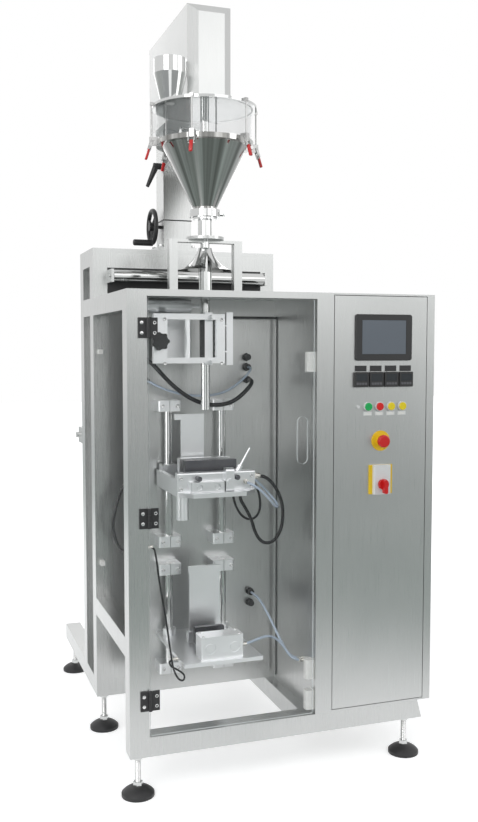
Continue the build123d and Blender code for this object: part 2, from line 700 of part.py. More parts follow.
def isolator_knob():
    """Round knob with a long grip that hangs below its middle, and its spindle."""
    z = BASE_Z + ISOLATOR_LIFT - ISOLATOR_DROP
    front = -ISOLATOR_PLATE - ISOLATOR_BLOCK - FREE_GAP
    knob = rod((PANEL_X, front, z), (0, -1, 0), ISOLATOR_KNOB_R, ISOLATOR_KNOB_H)
    half = ISOLATOR_KNOB_R * 0.38
    grip = block((PANEL_X - half, PANEL_X + half), (-ISOLATOR_REACH, front - ISOLATOR_KNOB_H),
                 (z - ISOLATOR_KNOB_R * 1.65, z + ISOLATOR_KNOB_R * 0.9))
    knob += fillet(grip.edges().filter_by(Axis.Y), half * 0.8)
    return [knob + rod((PANEL_X, front, z), ALONG_Y, WHEEL_SHAFT_R, -front)]


# Auger head on its column


def column_base():
    """Flange, lower box and the inner post that the head slides on."""
    half = COLUMN / 2
    wide = half + FLANGE_OVER
    flange = block((AXIS_X - wide, AXIS_X + wide), (PORTAL_Y, COLUMN_Y + wide),
                   (PORTAL_TOP, PORTAL_TOP + FLANGE_T))
    box = block((AXIS_X - half, AXIS_X + half), (COLUMN_Y - half, COLUMN_Y + half), (PORTAL_TOP, SLEEVE_Z))
    inner = half - COLUMN_WALL - RUN_FIT
    post = block((AXIS_X - inner, AXIS_X + inner), (COLUMN_Y - inner, COLUMN_Y + inner),
                 (SLEEVE_Z, LID_Z - TUBE))
    whole = flange + box + post
    whole -= rod((AXIS_X - COLUMN, COLUMN_Y, wheel_z()), ALONG_X, WHEEL_SHAFT_R + RUN_FIT, COLUMN)
    return [whole]


def wheel_z():
    """Height of the lifting wheel's shaft."""
    return SLEEVE_Z - 2 * WHEEL_SHAFT_R - FLANGE_T / 2


def column_sleeve():
    """Square sleeve that carries the head up and down the inner post."""
    half = COLUMN / 2
    inner = half - COLUMN_WALL
    sleeve = block((AXIS_X - half, AXIS_X + half), (COLUMN_Y - half, COLUMN_Y + half), (SLEEVE_Z, LID_TOP))
    sleeve -= block((AXIS_X - inner, AXIS_X + inner), (COLUMN_Y - inner, COLUMN_Y + inner),
                    (SLEEVE_Z - TUBE, LID_TOP + TUBE))
    bore = rod((AXIS_X - COLUMN, COLUMN_Y, LEVER_Z), ALONG_X, 5 + RUN_FIT, COLUMN)
    return [sleeve - bore]


def head_outline():
    """Plan of the drive housing: a long box with bevelled front corners."""
    half = HEAD_W / 2
    b = HEAD_BEVEL
    return Polygon((AXIS_X - half + b, HEAD_FRONT), (AXIS_X + half - b, HEAD_FRONT),
                   (AXIS_X + half, HEAD_FRONT + b), (AXIS_X + half, HEAD_FRONT + HEAD_LENGTH),
                   (AXIS_X - half, HEAD_FRONT + HEAD_LENGTH), (AXIS_X - half, HEAD_FRONT + b), align=None)


def head_housing():
    """Sheet housing over the drives, with a sloped front edge and a gland on its roof."""
    outline = head_outline()
    solid = Pos(0, 0, LID_TOP) * extrude(outline, HEAD_H)
    solid = chamfer(solid.edges().filter_by(Axis.X).group_by(Axis.Z)[-1].sort_by(Axis.Y)[0], HEAD_BEVEL)
    hollow = offset(outline, -HEAD_WALL, kind=Kind.INTERSECTION)
    inside = Pos(0, 0, LID_TOP + HEAD_WALL) * extrude(hollow, HEAD_H - 2 * HEAD_WALL)
    cut = inside.edges().filter_by(Axis.X).group_by(Axis.Z)[-1].sort_by(Axis.Y)[0]
    solid -= chamfer(cut, HEAD_BEVEL)
    solid -= rod((AXIS_X, AXIS_Y, LID_Z), ALONG_Z, HUB_R + FREE_GAP, 4 * LID_T)
    gland = (AXIS_X - HEAD_W / 4, HEAD_FRONT + HEAD_LENGTH * 0.7, LID_TOP + HEAD_H)
    return [solid + rod(gland, ALONG_Z, 12, 14)]


def drive_motors():
    """Bearing block, auger servo and agitator gear motor inside the housing."""
    floor = LID_TOP + HEAD_WALL
    half = MOTOR_SIDE / 2
    bearing = block((AXIS_X - half, AXIS_X + half), (AXIS_Y - half, AXIS_Y + half),
                    (floor, floor + BEARING_H))
    bearing -= rod((AXIS_X, AXIS_Y, floor - 1), ALONG_Z, HUB_R + FREE_GAP, BEARING_H * 0.42)
    bearing -= rod((AXIS_X, AXIS_Y, floor), ALONG_Z, AUGER_SHAFT_R + RUN_FIT, BEARING_H * 0.82)
    high = floor + BEARING_H
    servo = block((AXIS_X - half, AXIS_X + half), (AXIS_Y - half * 0.8, AXIS_Y + half),
                  (high, high + SERVO_H))
    rear = AXIS_Y + half + 2.6 * MOTOR_R
    gear = block((AXIS_X - half, AXIS_X + half), (AXIS_Y + half, rear), (floor, floor + GEAR_H))
    motor = rod((AXIS_X, rear - 1.3 * MOTOR_R, floor + GEAR_H), ALONG_Z, MOTOR_R, MOTOR_H)
    return [bearing + servo, gear + motor]


def hopper_lid():
    """Round lid with the feed funnel, a sight cap and the agitator's bearing."""
    lid = rod((AXIS_X, AXIS_Y, LID_Z), ALONG_Z, LID_R, LID_T)
    lid -= rod((AXIS_X, AXIS_Y, LID_Z - LID_T), ALONG_Z, HUB_R + RUN_FIT, 3 * LID_T)
    wall = CONE_WALL
    profile = Polyline((FUNNEL_LOW_R, 0), (FUNNEL_TOP_R, FUNNEL_CONE_H), (FUNNEL_TOP_R, FUNNEL_H),
                       (FUNNEL_TOP_R - wall, FUNNEL_H), (FUNNEL_TOP_R - wall, FUNNEL_CONE_H),
                       (FUNNEL_LOW_R - wall, 0), (FUNNEL_LOW_R, 0))
    place = Pos(AXIS_X - FUNNEL_X, AXIS_Y - FUNNEL_Y, LID_TOP)
    lid += place * revolve(Plane.XZ * make_face(profile), Axis.Z)
    lid -= place * rod((0, 0, -2 * LID_T), ALONG_Z, FUNNEL_HOLE_R, 3 * LID_T)
    cap = rod((AXIS_X + LID_R * 0.6, AXIS_Y - LID_R * 0.45, LID_TOP), ALONG_Z, 15, 12)
    return [lid + cap]


def hopper_cylinder():
    """Clear cylinder between the lid and the flange ring."""
    return [ring((AXIS_X, AXIS_Y, RING_Z), ALONG_Z, GLASS_R, GLASS_R - GLASS_WALL, GLASS_H)]


def hopper_cone():
    """Flange ring, cone and outlet ferrule in one welding."""
    w = CONE_WALL
    profile = Polyline((CONE_TOP_R, CONE_TOP_Z), (RING_R, CONE_TOP_Z), (RING_R, RING_Z),
                       (CONE_TOP_R - w, RING_Z), (CONE_TOP_R - w, CONE_TOP_Z), (CONE_LOW_R - w, CONE_LOW_Z),
                       (CONE_LOW_R - w, CLAMP_Z + CLAMP_H / 2), (CONE_LOW_R, CLAMP_Z + CLAMP_H / 2),
                       (CONE_LOW_R, CONE_LOW_Z), (CONE_TOP_R, CONE_TOP_Z))
    return [Pos(AXIS_X, AXIS_Y, 0) * revolve(Plane.XZ * make_face(profile), Axis.Z)]


def latch_place(i):
    """Plane at the rim for latch i: x outwards, z up."""
    angle = radians(-90 + LATCH_ANGLE + 360 / LATCHES * i)
    outward = (cos(angle), sin(angle), 0)
    return Plane(origin=(AXIS_X, AXIS_Y, 0), x_dir=outward, z_dir=ALONG_Z)


def latch_pivot():
    """Distance of the latch pivot from the hopper axis, and its height."""
    return (LID_R + 8, CONE_TOP_Z + 5)


def latch_bases():
    """Latch brackets on the ring, lid hooks and the draw rods between them."""
    half = LATCH_W / 2
    seat = rod((0, 0, CONE_LOW_Z), ALONG_Z, RING_R, 2 * GLASS_H + CONE_H)
    rim = rod((0, 0, CONE_LOW_Z), ALONG_Z, LID_R, 2 * GLASS_H + CONE_H)
    r, z = latch_pivot()
    pieces = []
    for i in range(LATCHES):
        low = CONE_TOP_Z - 5
        base = block((RING_R - 12, LID_R + 13), (-half, half), (low, low + LATCH_H)) - seat
        base -= rod((r, -TUBE, z), ALONG_Y, LATCH_PIN_R + RUN_FIT, 2 * TUBE)
        hook = block((LID_R - 12, LID_R + 11), (-HOOK_W / 2, HOOK_W / 2), (LID_Z, LID_TOP + 2)) - rim
        draw = rod((LID_R + 7, 0, low + LATCH_H), ALONG_Z, ROD_R, LID_Z - low - LATCH_H)
        pieces.append(latch_place(i) * (base + hook + draw))
    return pieces


def latch_lever(i):
    """Yoke on the bracket's pin with a handle that hangs below the ring."""
    half = LATCH_W / 2 + FREE_GAP
    cheek = 3.0
    r, z = latch_pivot()
    pin = rod((0, -half - cheek, 0), ALONG_Y, LATCH_PIN_R, 2 * (half + cheek))
    lever = pin
    for side in (-1, 1):
        lever += block((-5, 5), sorted((side * half, side * (half + cheek))), (-22, 5))
    handle = block((-5, 5), (-half - cheek, half + cheek), (-LATCH_HANDLE, -19))
    lever += fillet(handle.edges().filter_by(Axis.X).group_by(Axis.Z)[0], half * 0.8)
    return [latch_place(i) * Pos(r, 0, z) * Rot(0, -LATCH_LEAN, 0) * lever]


def tube_clamp():
    """Two-part pipe clamp round the ferrules, with a wing nut on the right."""
    low = CLAMP_Z + CLAMP_H * 0.2
    height = CLAMP_H * 0.6
    band = ring((AXIS_X, AXIS_Y, low), ALONG_Z, CLAMP_R, CONE_LOW_R + 1, height)
    ear = block((AXIS_X + CLAMP_R - 3, AXIS_X + CLAMP_R + 12), (AXIS_Y - 16, AXIS_Y + 10),
                (low + 2, low + height - 2))
    ear -= rod((AXIS_X, AXIS_Y, CLAMP_Z), ALONG_Z, CONE_LOW_R + 1, CLAMP_H)
    bolt = rod((AXIS_X + CLAMP_R + 5, AXIS_Y - 34, low + height / 2), ALONG_Y, 4, 40)
    wing = block((AXIS_X + CLAMP_R - 10, AXIS_X + CLAMP_R + 20), (AXIS_Y - 32, AXIS_Y - 24),
                 (low + height / 2 - 5, low + height / 2 + 5))
    return [band + ear + bolt + wing]


def auger_tube():
    """Long outlet tube with the ferrule that the clamp holds and a wider sleeve below it."""
    outer = AUGER_TUBE_R
    inner = AUGER_TUBE_R - AUGER_TUBE_WALL
    top = CLAMP_Z + CLAMP_H / 2
    tube = ring((AXIS_X, AXIS_Y, FORM_TUBE_END), ALONG_Z, outer, inner, top - FORM_TUBE_END)
    flange = ring((AXIS_X, AXIS_Y, CLAMP_Z), ALONG_Z, CONE_LOW_R, outer, CLAMP_H / 2)
    low = PORTAL_TOP + BRACKET_PLATE + 2 * FREE_GAP
    sleeve = ring((AXIS_X, AXIS_Y, low), ALONG_Z, AUGER_SLEEVE_R, outer, CLAMP_Z - low)
    return [tube, flange, sleeve]


def auger_screw():
    """Shaft with a helical flight in the tube, reaching up into the drive."""
    low = FORM_TUBE_END + 6
    flight_r = AUGER_TUBE_R - AUGER_TUBE_WALL - AUGER_GAP
    shaft = rod((AXIS_X, AXIS_Y, low), ALONG_Z, AUGER_SHAFT_R, LID_TOP + HEAD_WALL + BEARING_H * 0.8 - low)
    length = CONE_LOW_Z - low
    blade = Rectangle(2 * flight_r, FLIGHT_T).face()
    turns = length / AUGER_PITCH / 2 * 360
    flight = Solid.extrude_linear_with_rotation(blade, (0, 0, 0), (0, 0, length), turns)
    return [shaft + Pos(AXIS_X, AXIS_Y, low) * flight]


def agitator():
    """Hollow hub with two arms that sweep the clear cylinder and the cone."""
    hub = ring((AXIS_X, AXIS_Y, CONE_TOP_Z), ALONG_Z, HUB_R, AUGER_SHAFT_R + FREE_GAP,
               LID_TOP + BEARING_H * 0.36 - CONE_TOP_Z)
    slope = (CONE_TOP_R - CONE_LOW_R) / CONE_H
    sweep_r = CONE_TOP_R - 3 * ARM_R
    high = RING_Z + 25
    low = CONE_LOW_Z + 45
    route = FilletPolyline((HUB_R - 1, 0, high), (sweep_r, 0, high), (sweep_r, 0, CONE_TOP_Z),
                           (sweep_r - slope * (CONE_TOP_Z - low), 0, low), radius=12)
    arm = sweep(Plane(origin=(HUB_R - 1, 0, high), z_dir=ALONG_X) * Circle(ARM_R), route)
    whole = hub
    for turn in (35, 215):
        whole += Pos(AXIS_X, AXIS_Y, 0) * Rot(0, 0, turn) * arm
    return [whole]


def handwheel():
    """Rim, spokes and hub on a shaft into the column, with a crank grip."""
    x = AXIS_X - COLUMN / 2 - WHEEL_OUT
    z = wheel_z()
    profile = Pos(WHEEL_R, 0) * RectangleRounded(2 * WHEEL_RIM_R, 2 * WHEEL_RIM_R, WHEEL_RIM_R * 0.9)
    rim = revolve(Plane.XZ * profile, Axis.Z)
    wheel = rod((x - 12, COLUMN_Y, z), ALONG_X, 15, 24)
    for i in range(3):
        angle = 2 * pi / 3 * i + pi / 6
        wheel += rod((x, COLUMN_Y, z), (0, cos(angle), sin(angle)), 6, WHEEL_R)
    wheel += Plane(origin=(x, COLUMN_Y, z), x_dir=ALONG_Y, z_dir=ALONG_X) * rim
    wheel += rod((x, COLUMN_Y, z), ALONG_X, WHEEL_SHAFT_R, WHEEL_OUT + COLUMN_WALL * 2)
    grip = rod((x, COLUMN_Y, z - WHEEL_R), (-1, 0, 0), GRIP_R, WHEEL_RIM_R + GRIP_L)
    return [wheel + fillet(grip.edges().sort_by(Axis.X)[0], 6)]


def clamp_lever():
    """Clamping lever on the sleeve, its tapered handle angled away from the column."""
    x = AXIS_X - COLUMN / 2 - FREE_GAP
    z = LEVER_Z
    hub = rod((x, COLUMN_Y, z), (-1, 0, 0), LEVER_R, 2 * LEVER_R)
    lean = Vector(-0.4, 0, -0.917) * LEVER_LENGTH
    start = Vector(x - 13, COLUMN_Y, z)
    handle = Cone(LEVER_R, LEVER_TIP_R, lean.length, align=(Align.CENTER, Align.CENTER, Align.MIN))
    handle = fillet(handle.edges().sort_by(Axis.Z)[-1], LEVER_TIP_R / 2)
    arm = Plane(origin=start, z_dir=lean) * handle
    return [hub + arm + rod((x, COLUMN_Y, z), ALONG_X, 5, FREE_GAP + COLUMN_WALL)]


# Forming set


def former_bracket():
    """Portal on the deck with the round seat of the forming tube."""
    half = BRACKET_POST / 2
    posts = []
    for side in (-1, 1):
        x = AXIS_X + side * BRACKET_HALF
        posts.append(block((x - half, x + half), (AXIS_Y - half, AXIS_Y + half),
                           (TOP_Z, PORTAL_TOP - BRACKET_PLATE)))
    wide = BRACKET_HALF + half
    plate = block((AXIS_X - wide, AXIS_X + wide), (AXIS_Y - half, AXIS_Y + half),
                  (PORTAL_TOP - BRACKET_PLATE, PORTAL_TOP))
    plate += rod((AXIS_X, AXIS_Y, PORTAL_TOP), ALONG_Z, BRACKET_SEAT_R, BRACKET_PLATE)
    plate -= rod((AXIS_X, AXIS_Y, TOP_Z), ALONG_Z, FORM_TUBE_R, PORTAL_TOP)
    return [plate] + posts


def forming_tube():
    """Tube that the film is formed round; it hangs from the bracket."""
    return [ring((AXIS_X, AXIS_Y, FORM_TUBE_END), ALONG_Z, FORM_TUBE_R, FORM_TUBE_R - FORM_TUBE_WALL,
                 PORTAL_TOP + BRACKET_PLATE - FORM_TUBE_END)]


def forming_collar():
    """Shoulder that turns the flat film into a tube: flared wings over a skirt."""
    low = BASE_Z + COLLAR_LIFT
    wall = 1.5
    gap = FORM_TUBE_R
    skirt = ring((0, 0, TOP_Z), ALONG_Z, SKIRT_R, SKIRT_R - wall, low + COLLAR_H - TOP_Z)
    skirt += ring((0, 0, TOP_Z), ALONG_Z, SKIRT_R + 18, gap, 6)
    wings = Polyline((SKIRT_R - wall, COLLAR_H), (SKIRT_R, COLLAR_H))
    wings += ThreePointArc((SKIRT_R, COLLAR_H), (COLLAR_R * 0.5, COLLAR_H * 0.42), (COLLAR_R, 0))
    wings += Polyline((COLLAR_R, 0), (COLLAR_R - 2 * wall, 0))
    wings += ThreePointArc((COLLAR_R - 2 * wall, 0), (COLLAR_R * 0.48 - wall, COLLAR_H * 0.41),
                           (SKIRT_R - wall, COLLAR_H))
    flare = Pos(0, 0, low) * revolve(Plane.XZ * make_face(wings), Axis.Z)
    mouth = Polygon((0, COLLAR_H * 0.75), (-COLLAR_R * 0.62, -COLLAR_H), (COLLAR_R * 0.62, -COLLAR_H),
                    align=None)
    front = Plane.XZ * extrude(mouth, 2 * COLLAR_R)
    flare -= Pos(0, 0, low) * front
    return [Pos(AXIS_X, AXIS_Y, 0) * (skirt + flare)]


# Sealing set


def shaft_places():
    """Middle of the two guide shafts in x."""
    return (AXIS_X - SHAFT_HALF, AXIS_X + SHAFT_HALF)


def guide_shafts():
    """Upper and lower pair of guide shafts."""
    lifts = SUPPORT_LIFTS
    pieces = []
    for x in shaft_places():
        for low, high in ((lifts[0], lifts[1]), (lifts[2], lifts[3])):
            z = BASE_Z + low
            pieces.append(rod((x, SHAFT_Y, z), ALONG_Z, SHAFT_R, high - low + SUPPORT_H))
    return pieces


def shaft_supports():
    """Split blocks that hold the shafts on the machine plate."""
    pieces = []
    for x in shaft_places():
        for lift in SUPPORT_LIFTS:
            z = BASE_Z + lift
            piece = block((x - SUPPORT_W / 2, x + SUPPORT_W / 2), (SUPPORT_FRONT, BACK_PLATE_Y),
                          (z, z + SUPPORT_H))
            piece = fillet(piece.edges().filter_by(Axis.Z).group_by(Axis.Y)[0], 8)
            piece -= rod((x, SHAFT_Y, BASE_Z), ALONG_Z, SHAFT_R, FRAME_HEIGHT)
            slit = block((x - 1, x + 1), (SUPPORT_FRONT - 1, SHAFT_Y), (z - 1, z + SUPPORT_H + 1))
            pieces.append(piece - slit)
    return pieces


def jaw_carriage():
    """Carriage on the upper shafts: base plate, cheeks, bushes, rear jaw, guide block and pull plate."""
    x = CARRIAGE_X
    low = CARRIAGE_LOW
    deck = CARRIAGE_DECK
    rear = SHAFT_Y + 2 * SHAFT_R
    window = AXIS_Y + 2 * JAW_T - 6
    body = block(x, (CARRIAGE_FRONT, rear), (low, deck))
    body -= block((x[0] + CARRIAGE_SIDE, x[1] - CARRIAGE_SIDE), (CARRIAGE_FRONT + GUIDE_T + 6, window),
                  (low - 1, deck + 1))
    for side in (x[0], x[1] - CARRIAGE_PLATE):
        body += block((side, side + CARRIAGE_PLATE), (CARRIAGE_FRONT, rear), (deck, deck + CHEEK_H))
    guide = block(x, (CARRIAGE_FRONT, CARRIAGE_FRONT + GUIDE_T), (deck, deck + JAW_H))
    body += fillet(guide.edges().filter_by(Axis.X).group_by(Axis.Z)[-1].sort_by(Axis.Y)[0], GUIDE_T / 4)
    front = CARRIAGE_FRONT
    edge = front - APRON
    apron = Polygon((x[0], front), (x[0] + APRON, edge), (x[1] - APRON, edge), (x[1], front), align=None)
    body += Pos(0, 0, low) * extrude(apron, CARRIAGE_PLATE)
    for shaft in shaft_places():
        half = SHAFT_R + 12
        body += block((shaft - half, shaft + half), (SHAFT_Y - half, rear), (low, deck + JAW_H))
    for shaft in shaft_places():
        body -= rod((shaft, SHAFT_Y, BASE_Z), ALONG_Z, SHAFT_R + RUN_FIT, FRAME_HEIGHT)
    jaw = (deck + JAW_H / 2, deck + JAW_H * 1.5)
    body += block((AXIS_X - JAW_W / 2, AXIS_X + JAW_W / 2), (AXIS_Y + 5, AXIS_Y + 5 + JAW_T), jaw)
    for side in (-1, 1):
        foot = AXIS_X + side * (JAW_W / 2 - CARRIAGE_PLATE)
        body += block((foot - CARRIAGE_PLATE, foot + CARRIAGE_PLATE),
                      (AXIS_Y + JAW_T / 2, window + CARRIAGE_PLATE), (deck, jaw[0]))
    for x_rod in jaw_rods():
        body -= rod((x_rod, 0, jaw_rod_z()), ALONG_Y, JAW_ROD_R + RUN_FIT, AXIS_Y - 40)
    body += rod((x[0] + 22, CARRIAGE_FRONT + 20, low), (0, 0, -1), 19, 74)
    pull = (window + PULL_PLATE, window + 2 * PULL_PLATE)
    body += block((AXIS_X - 67, AXIS_X + 12), pull, (deck, deck + PULL_RISE))
    high = deck + PULL_RISE
    body += block((AXIS_X - 87, AXIS_X + 12), (pull[0] - 2, pull[1] + 4), (high, high + 3 * PULL_PLATE))
    lever = Vector(0.5, 0, 0.866)
    foot = Vector(AXIS_X + 72, CARRIAGE_FRONT + GUIDE_T / 2, deck + JAW_H - 4)
    body += rod(foot, lever, 3.5, 84)
    body += rod(foot, lever, 9, 22)
    return [body, stop_block(), rocker()]


def stop_block():
    """Block on the carriage's apron, held by two sunk screws."""
    wide, thick, high = STOP_BLOCK
    left = AXIS_X - JAW_ROD_HALF - wide / 4
    front = CARRIAGE_FRONT - thick
    piece = block((left, left + wide), (front, CARRIAGE_FRONT), (CARRIAGE_DECK, CARRIAGE_DECK + high))
    piece = chamfer(piece.edges().group_by(Axis.Y)[0], 1.5)
    for share in (0.25, 0.78):
        middle = (left + wide * share, front, CARRIAGE_DECK + high / 2)
        piece -= rod(middle, ALONG_Y, high * 0.3, thick / 3)
        piece += rod(Vector(*middle) + Vector(0, thick / 6, 0), ALONG_Y, high * 0.2, thick / 3)
    return piece


def rocker():
    """Rounded clamp beside the stop block, with its cross pin."""
    wide, thick, high = ROCKER
    left = AXIS_X + JAW_ROD_HALF - JAW_ROD_R - wide - 4
    front = CARRIAGE_FRONT - thick
    piece = block((left, left + wide), (front, CARRIAGE_FRONT), (CARRIAGE_DECK, CARRIAGE_DECK + high))
    piece = fillet(piece.edges().filter_by(Axis.X).group_by(Axis.Y)[0], thick / 3)
    pin = (left + wide / 2, front - 5, CARRIAGE_DECK + high * 0.42)
    piece += rod(pin, ALONG_Y, wide * 0.36, thick / 2)
    return piece


def jaw_rods():
    """Middle of the two guide rods of the front jaw in x."""
    return (AXIS_X - JAW_ROD_HALF, AXIS_X + JAW_ROD_HALF)


def jaw_rod_z():
    """Height of the front jaw's guide rods."""
    return CARRIAGE_DECK + JAW_H * 0.7


def front_jaw():
    """Grooved sealing jaw on two rods that slide in the guide block."""
    deck = CARRIAGE_DECK
    face = AXIS_Y + 5 - JAW_OPEN
    jaw = block((AXIS_X - JAW_W / 2, AXIS_X + JAW_W / 2), (face - JAW_T, face),
                (deck + JAW_H / 2, deck + JAW_H * 1.5))
    for z in range(4):
        groove = deck + JAW_H * 0.6 + JAW_H / 4 * z
        jaw -= block((AXIS_X - JAW_W, AXIS_X + JAW_W), (face - 1.5, face + 1), (groove, groove + JAW_H / 12))
    front = CARRIAGE_FRONT - JAW_ROD_OUT
    for x in jaw_rods():
        pin = rod((x, front, jaw_rod_z()), ALONG_Y, JAW_ROD_R, face - JAW_T / 2 - front)
        jaw += chamfer(pin.edges().sort_by(Axis.Y)[0], JAW_ROD_R / 5)
    return [jaw]


def lower_tray():
    """Shelf under the bag, with the gripper's cylinder block and its rear plate."""
    deck = TRAY_DECK
    tray = block(CARRIAGE_X, (TRAY_FRONT, BACK_PLATE_Y), (deck - TRAY_PLATE, deck))
    for shaft in shaft_places():
        tray += ring((shaft, SHAFT_Y, deck), ALONG_Z, SHAFT_R * 1.7, SHAFT_R, 2 * TRAY_PLATE)
        tray -= rod((shaft, SHAFT_Y, BASE_Z), ALONG_Z, SHAFT_R, FRAME_HEIGHT)
    half = GRIP_BLOCK_W / 2
    front = block((AXIS_X - half, AXIS_X + half), grip_block_y(), (deck, deck + GRIP_BLOCK_H))
    front = fillet(front.edges().filter_by(Axis.Z), TRAY_PLATE / 2)
    for pin in gripper_rods():
        start = (pin, grip_block_y()[0] + 15, deck + GRIP_BLOCK_H / 2)
        front -= rod(start, ALONG_Y, GRIP_ROD_R + RUN_FIT, GRIP_BLOCK_D)
        sunk = (pin, grip_block_y()[0], deck + GRIP_BLOCK_H / 2)
        front -= ring(sunk, ALONG_Y, GRIP_BLOCK_H * 0.26, GRIP_BLOCK_H * 0.2, 3)
    half = GRIP_PLATE_W / 2
    middle = AXIS_Y + TRAY_PLATE + 5
    plate = block((AXIS_X - half, AXIS_X + half), (middle - 4, middle + 4), (deck, deck + GRIP_PLATE_H))
    plate += block((AXIS_X - half - 6, AXIS_X + half + 6), (middle - TRAY_PLATE, middle + TRAY_PLATE),
                   (deck, deck + GRIP_BLOCK_H / 2))
    head = (deck + GRIP_PLATE_H - TRAY_PLATE * 2, deck + GRIP_PLATE_H)
    plate += block((AXIS_X - half - 2, AXIS_X + half + 2), (middle - 8, middle + 4), head)
    return [tray, front, plate]


def grip_block_y():
    """Front and rear of the gripper's cylinder block."""
    return (TRAY_FRONT + 18, TRAY_FRONT + 18 + GRIP_BLOCK_D)


def gripper_rods():
    """Middle of the gripper's two guide rods in x."""
    return (AXIS_X - GRIP_ROD_HALF, AXIS_X + GRIP_ROD_HALF)


def gripper_pad():
    """Pad that closes on the rear plate, on two rods out of the block."""
    half = GRIP_PLATE_W / 2 - 2
    rear = AXIS_Y + 5 - GRIP_OPEN + 8
    middle = TRAY_DECK + GRIP_BLOCK_H / 2
    pad = block((AXIS_X - half, AXIS_X + half), (rear - GRIP_PAD_T, rear),
                (middle - GRIP_PAD_H / 2, middle + GRIP_PAD_H / 2))
    pad = fillet(pad.edges().filter_by(Axis.Y), GRIP_ROD_R)
    for pin in gripper_rods():
        start = grip_block_y()[0] + 25
        pad += rod((pin, start, middle), ALONG_Y, GRIP_ROD_R, rear - GRIP_PAD_T / 2 - start)
    return [pad]


def sealer_frame():
    """Bars, end plate and rear panel that carry the sealing bar, and the air cylinder above them."""
    front = SEAL_BAR_Y
    rear = SEAL_BAR_Y + SEAL_BAR_T
    left = AXIS_X - SEAL_LEFT
    right = AXIS_X + SEAL_RIGHT
    low, high = seal_bar(0), seal_bar(1)
    side = block((left - SEAL_SIDE_W, left), (front, rear), (low[0], high[1]))
    side -= rod((knob_x(), 0, knob_z()), ALONG_Y, KNOB_SPINDLE_R + RUN_FIT, AXIS_Y)
    end = block((right - SEAL_END_W, right), (front, rear), (low[1], high[0]))
    arm = (left + SEAL_ARM / 2, left + 1.5 * SEAL_ARM)
    panel = block((left, left + SEAL_PANEL_W), (SHAFT_Y - 2 * SEAL_PANEL, SHAFT_Y - SEAL_PANEL),
                  (low[0], high[1]))
    pieces = [side, end]
    for z in (low, high):
        bar = block((left, right), (front, rear), z)
        bar -= rod((AXIS_X, 0, sum(z) / 2), ALONG_Y, SEAL_ROD_R + RUN_FIT, AXIS_Y)
        pieces.append(bar)
        panel += block(arm, (rear, BACK_PLATE_Y), z)
    pieces.append(panel)
    post = (left + 2.7 * SEAL_ARM, (front + rear) / 2, low[1])
    pieces.append(rod(post, ALONG_Z, 1.5 * SEAL_ROD_R, high[0] - low[1]))
    cheek = block((right + 7, right + 29), (front + 6, rear - 2), (low[0] - 6, high[1] + 6))
    for z in (low[1] + SEAL_BAR_H, high[0] - SEAL_BAR_H):
        cheek += rod((right, (front + rear) / 2, z), ALONG_X, SEAL_PIN_R, 10)
    pieces.append(cheek)
    body = TOP_Z - DECK_SHEET - AIR_CYL_R - 4
    start = AXIS_X - AIR_CYL_L - AIR_CYL_R
    line = SHAFT_Y - AIR_CYL_R + 2
    cylinder = rod((start, line, body), ALONG_X, AIR_CYL_R, AIR_CYL_L)
    cylinder += rod((start + AIR_CYL_L, line, body), ALONG_X, AIR_CYL_R / 3, 1.4 * AIR_CYL_R)
    for x in (start + AIR_CYL_FOOT, start + AIR_CYL_L - 2.4 * AIR_CYL_FOOT):
        cylinder += block((x, x + AIR_CYL_FOOT), (line, BACK_PLATE_Y),
                          (body - AIR_CYL_R + 2, body + AIR_CYL_R - 2))
    pieces.append(cylinder)
    return pieces


def seal_bar(i):
    """Height range of the lower or upper guide bar."""
    return (BASE_Z + SEAL_BAR_LIFTS[i], BASE_Z + SEAL_BAR_LIFTS[i] + SEAL_BAR_H)


def knob_x():
    """Middle of the star knob in x."""
    return AXIS_X - SEAL_LEFT - SEAL_SIDE_W * 0.6


def knob_z():
    """Height of the star knob."""
    return BASE_Z + sum(SEAL_BAR_LIFTS) / 2


def sealer_bar():
    """Heated bar in front of the tube, on two rods through the guide bars."""
    face = AXIS_Y - FORM_TUBE_R - 9
    low, high = seal_bar(0), seal_bar(1)
    bar = block((AXIS_X - 13, AXIS_X + 13), (face - 14, face), (low[0] - 6, high[1] + 6))
    for z in (low, high):
        bar += rod((AXIS_X, SEAL_BAR_Y - 20, sum(z) / 2), ALONG_Y, SEAL_ROD_R, face - SEAL_BAR_Y + 8)
    return [bar]


def star_knob():
    """Lobed knob on a spindle through the side plate."""
    front = SEAL_BAR_Y - FREE_GAP
    lobe = KNOB_R * 0.27
    knob = rod((knob_x(), front, knob_z()), (0, -1, 0), KNOB_R, KNOB_H)
    for i in range(7):
        angle = 2 * pi / 7 * i
        reach = KNOB_R - 2
        place = (knob_x() + reach * cos(angle), front, knob_z() + reach * sin(angle))
        knob += rod(place, (0, -1, 0), lobe, KNOB_H)
    return [knob + rod((knob_x(), front, knob_z()), ALONG_Y, KNOB_SPINDLE_R, SEAL_BAR_T + 12)]


def guide_roller():
    """Film roller in front of the portal, on journals in two plates."""
    z = BASE_Z + ROLLER_LIFT
    roller = rod((TUBE, ROLLER_Y, z), ALONG_X, ROLLER_R, PORTAL_WIDTH - 2 * TUBE)
    return [roller + rod((TUBE - 14, ROLLER_Y, z), ALONG_X, ROLLER_PIN_R, PORTAL_WIDTH - 2 * TUBE + 28)]


def roller_plates():
    """Plates on the portal that carry the film roller."""
    z = BASE_Z + ROLLER_LIFT
    plate = block((TUBE - 10, TUBE - FREE_GAP), (ROLLER_Y - 18, PORTAL_Y), (z - 22, z + 22))
    plate -= rod((0, ROLLER_Y, z), ALONG_X, ROLLER_PIN_R + RUN_FIT, PORTAL_WIDTH)
    far = Plane(origin=(PORTAL_WIDTH / 2, 0, 0), z_dir=ALONG_X)
    return [plate, mirror(plate, far)]


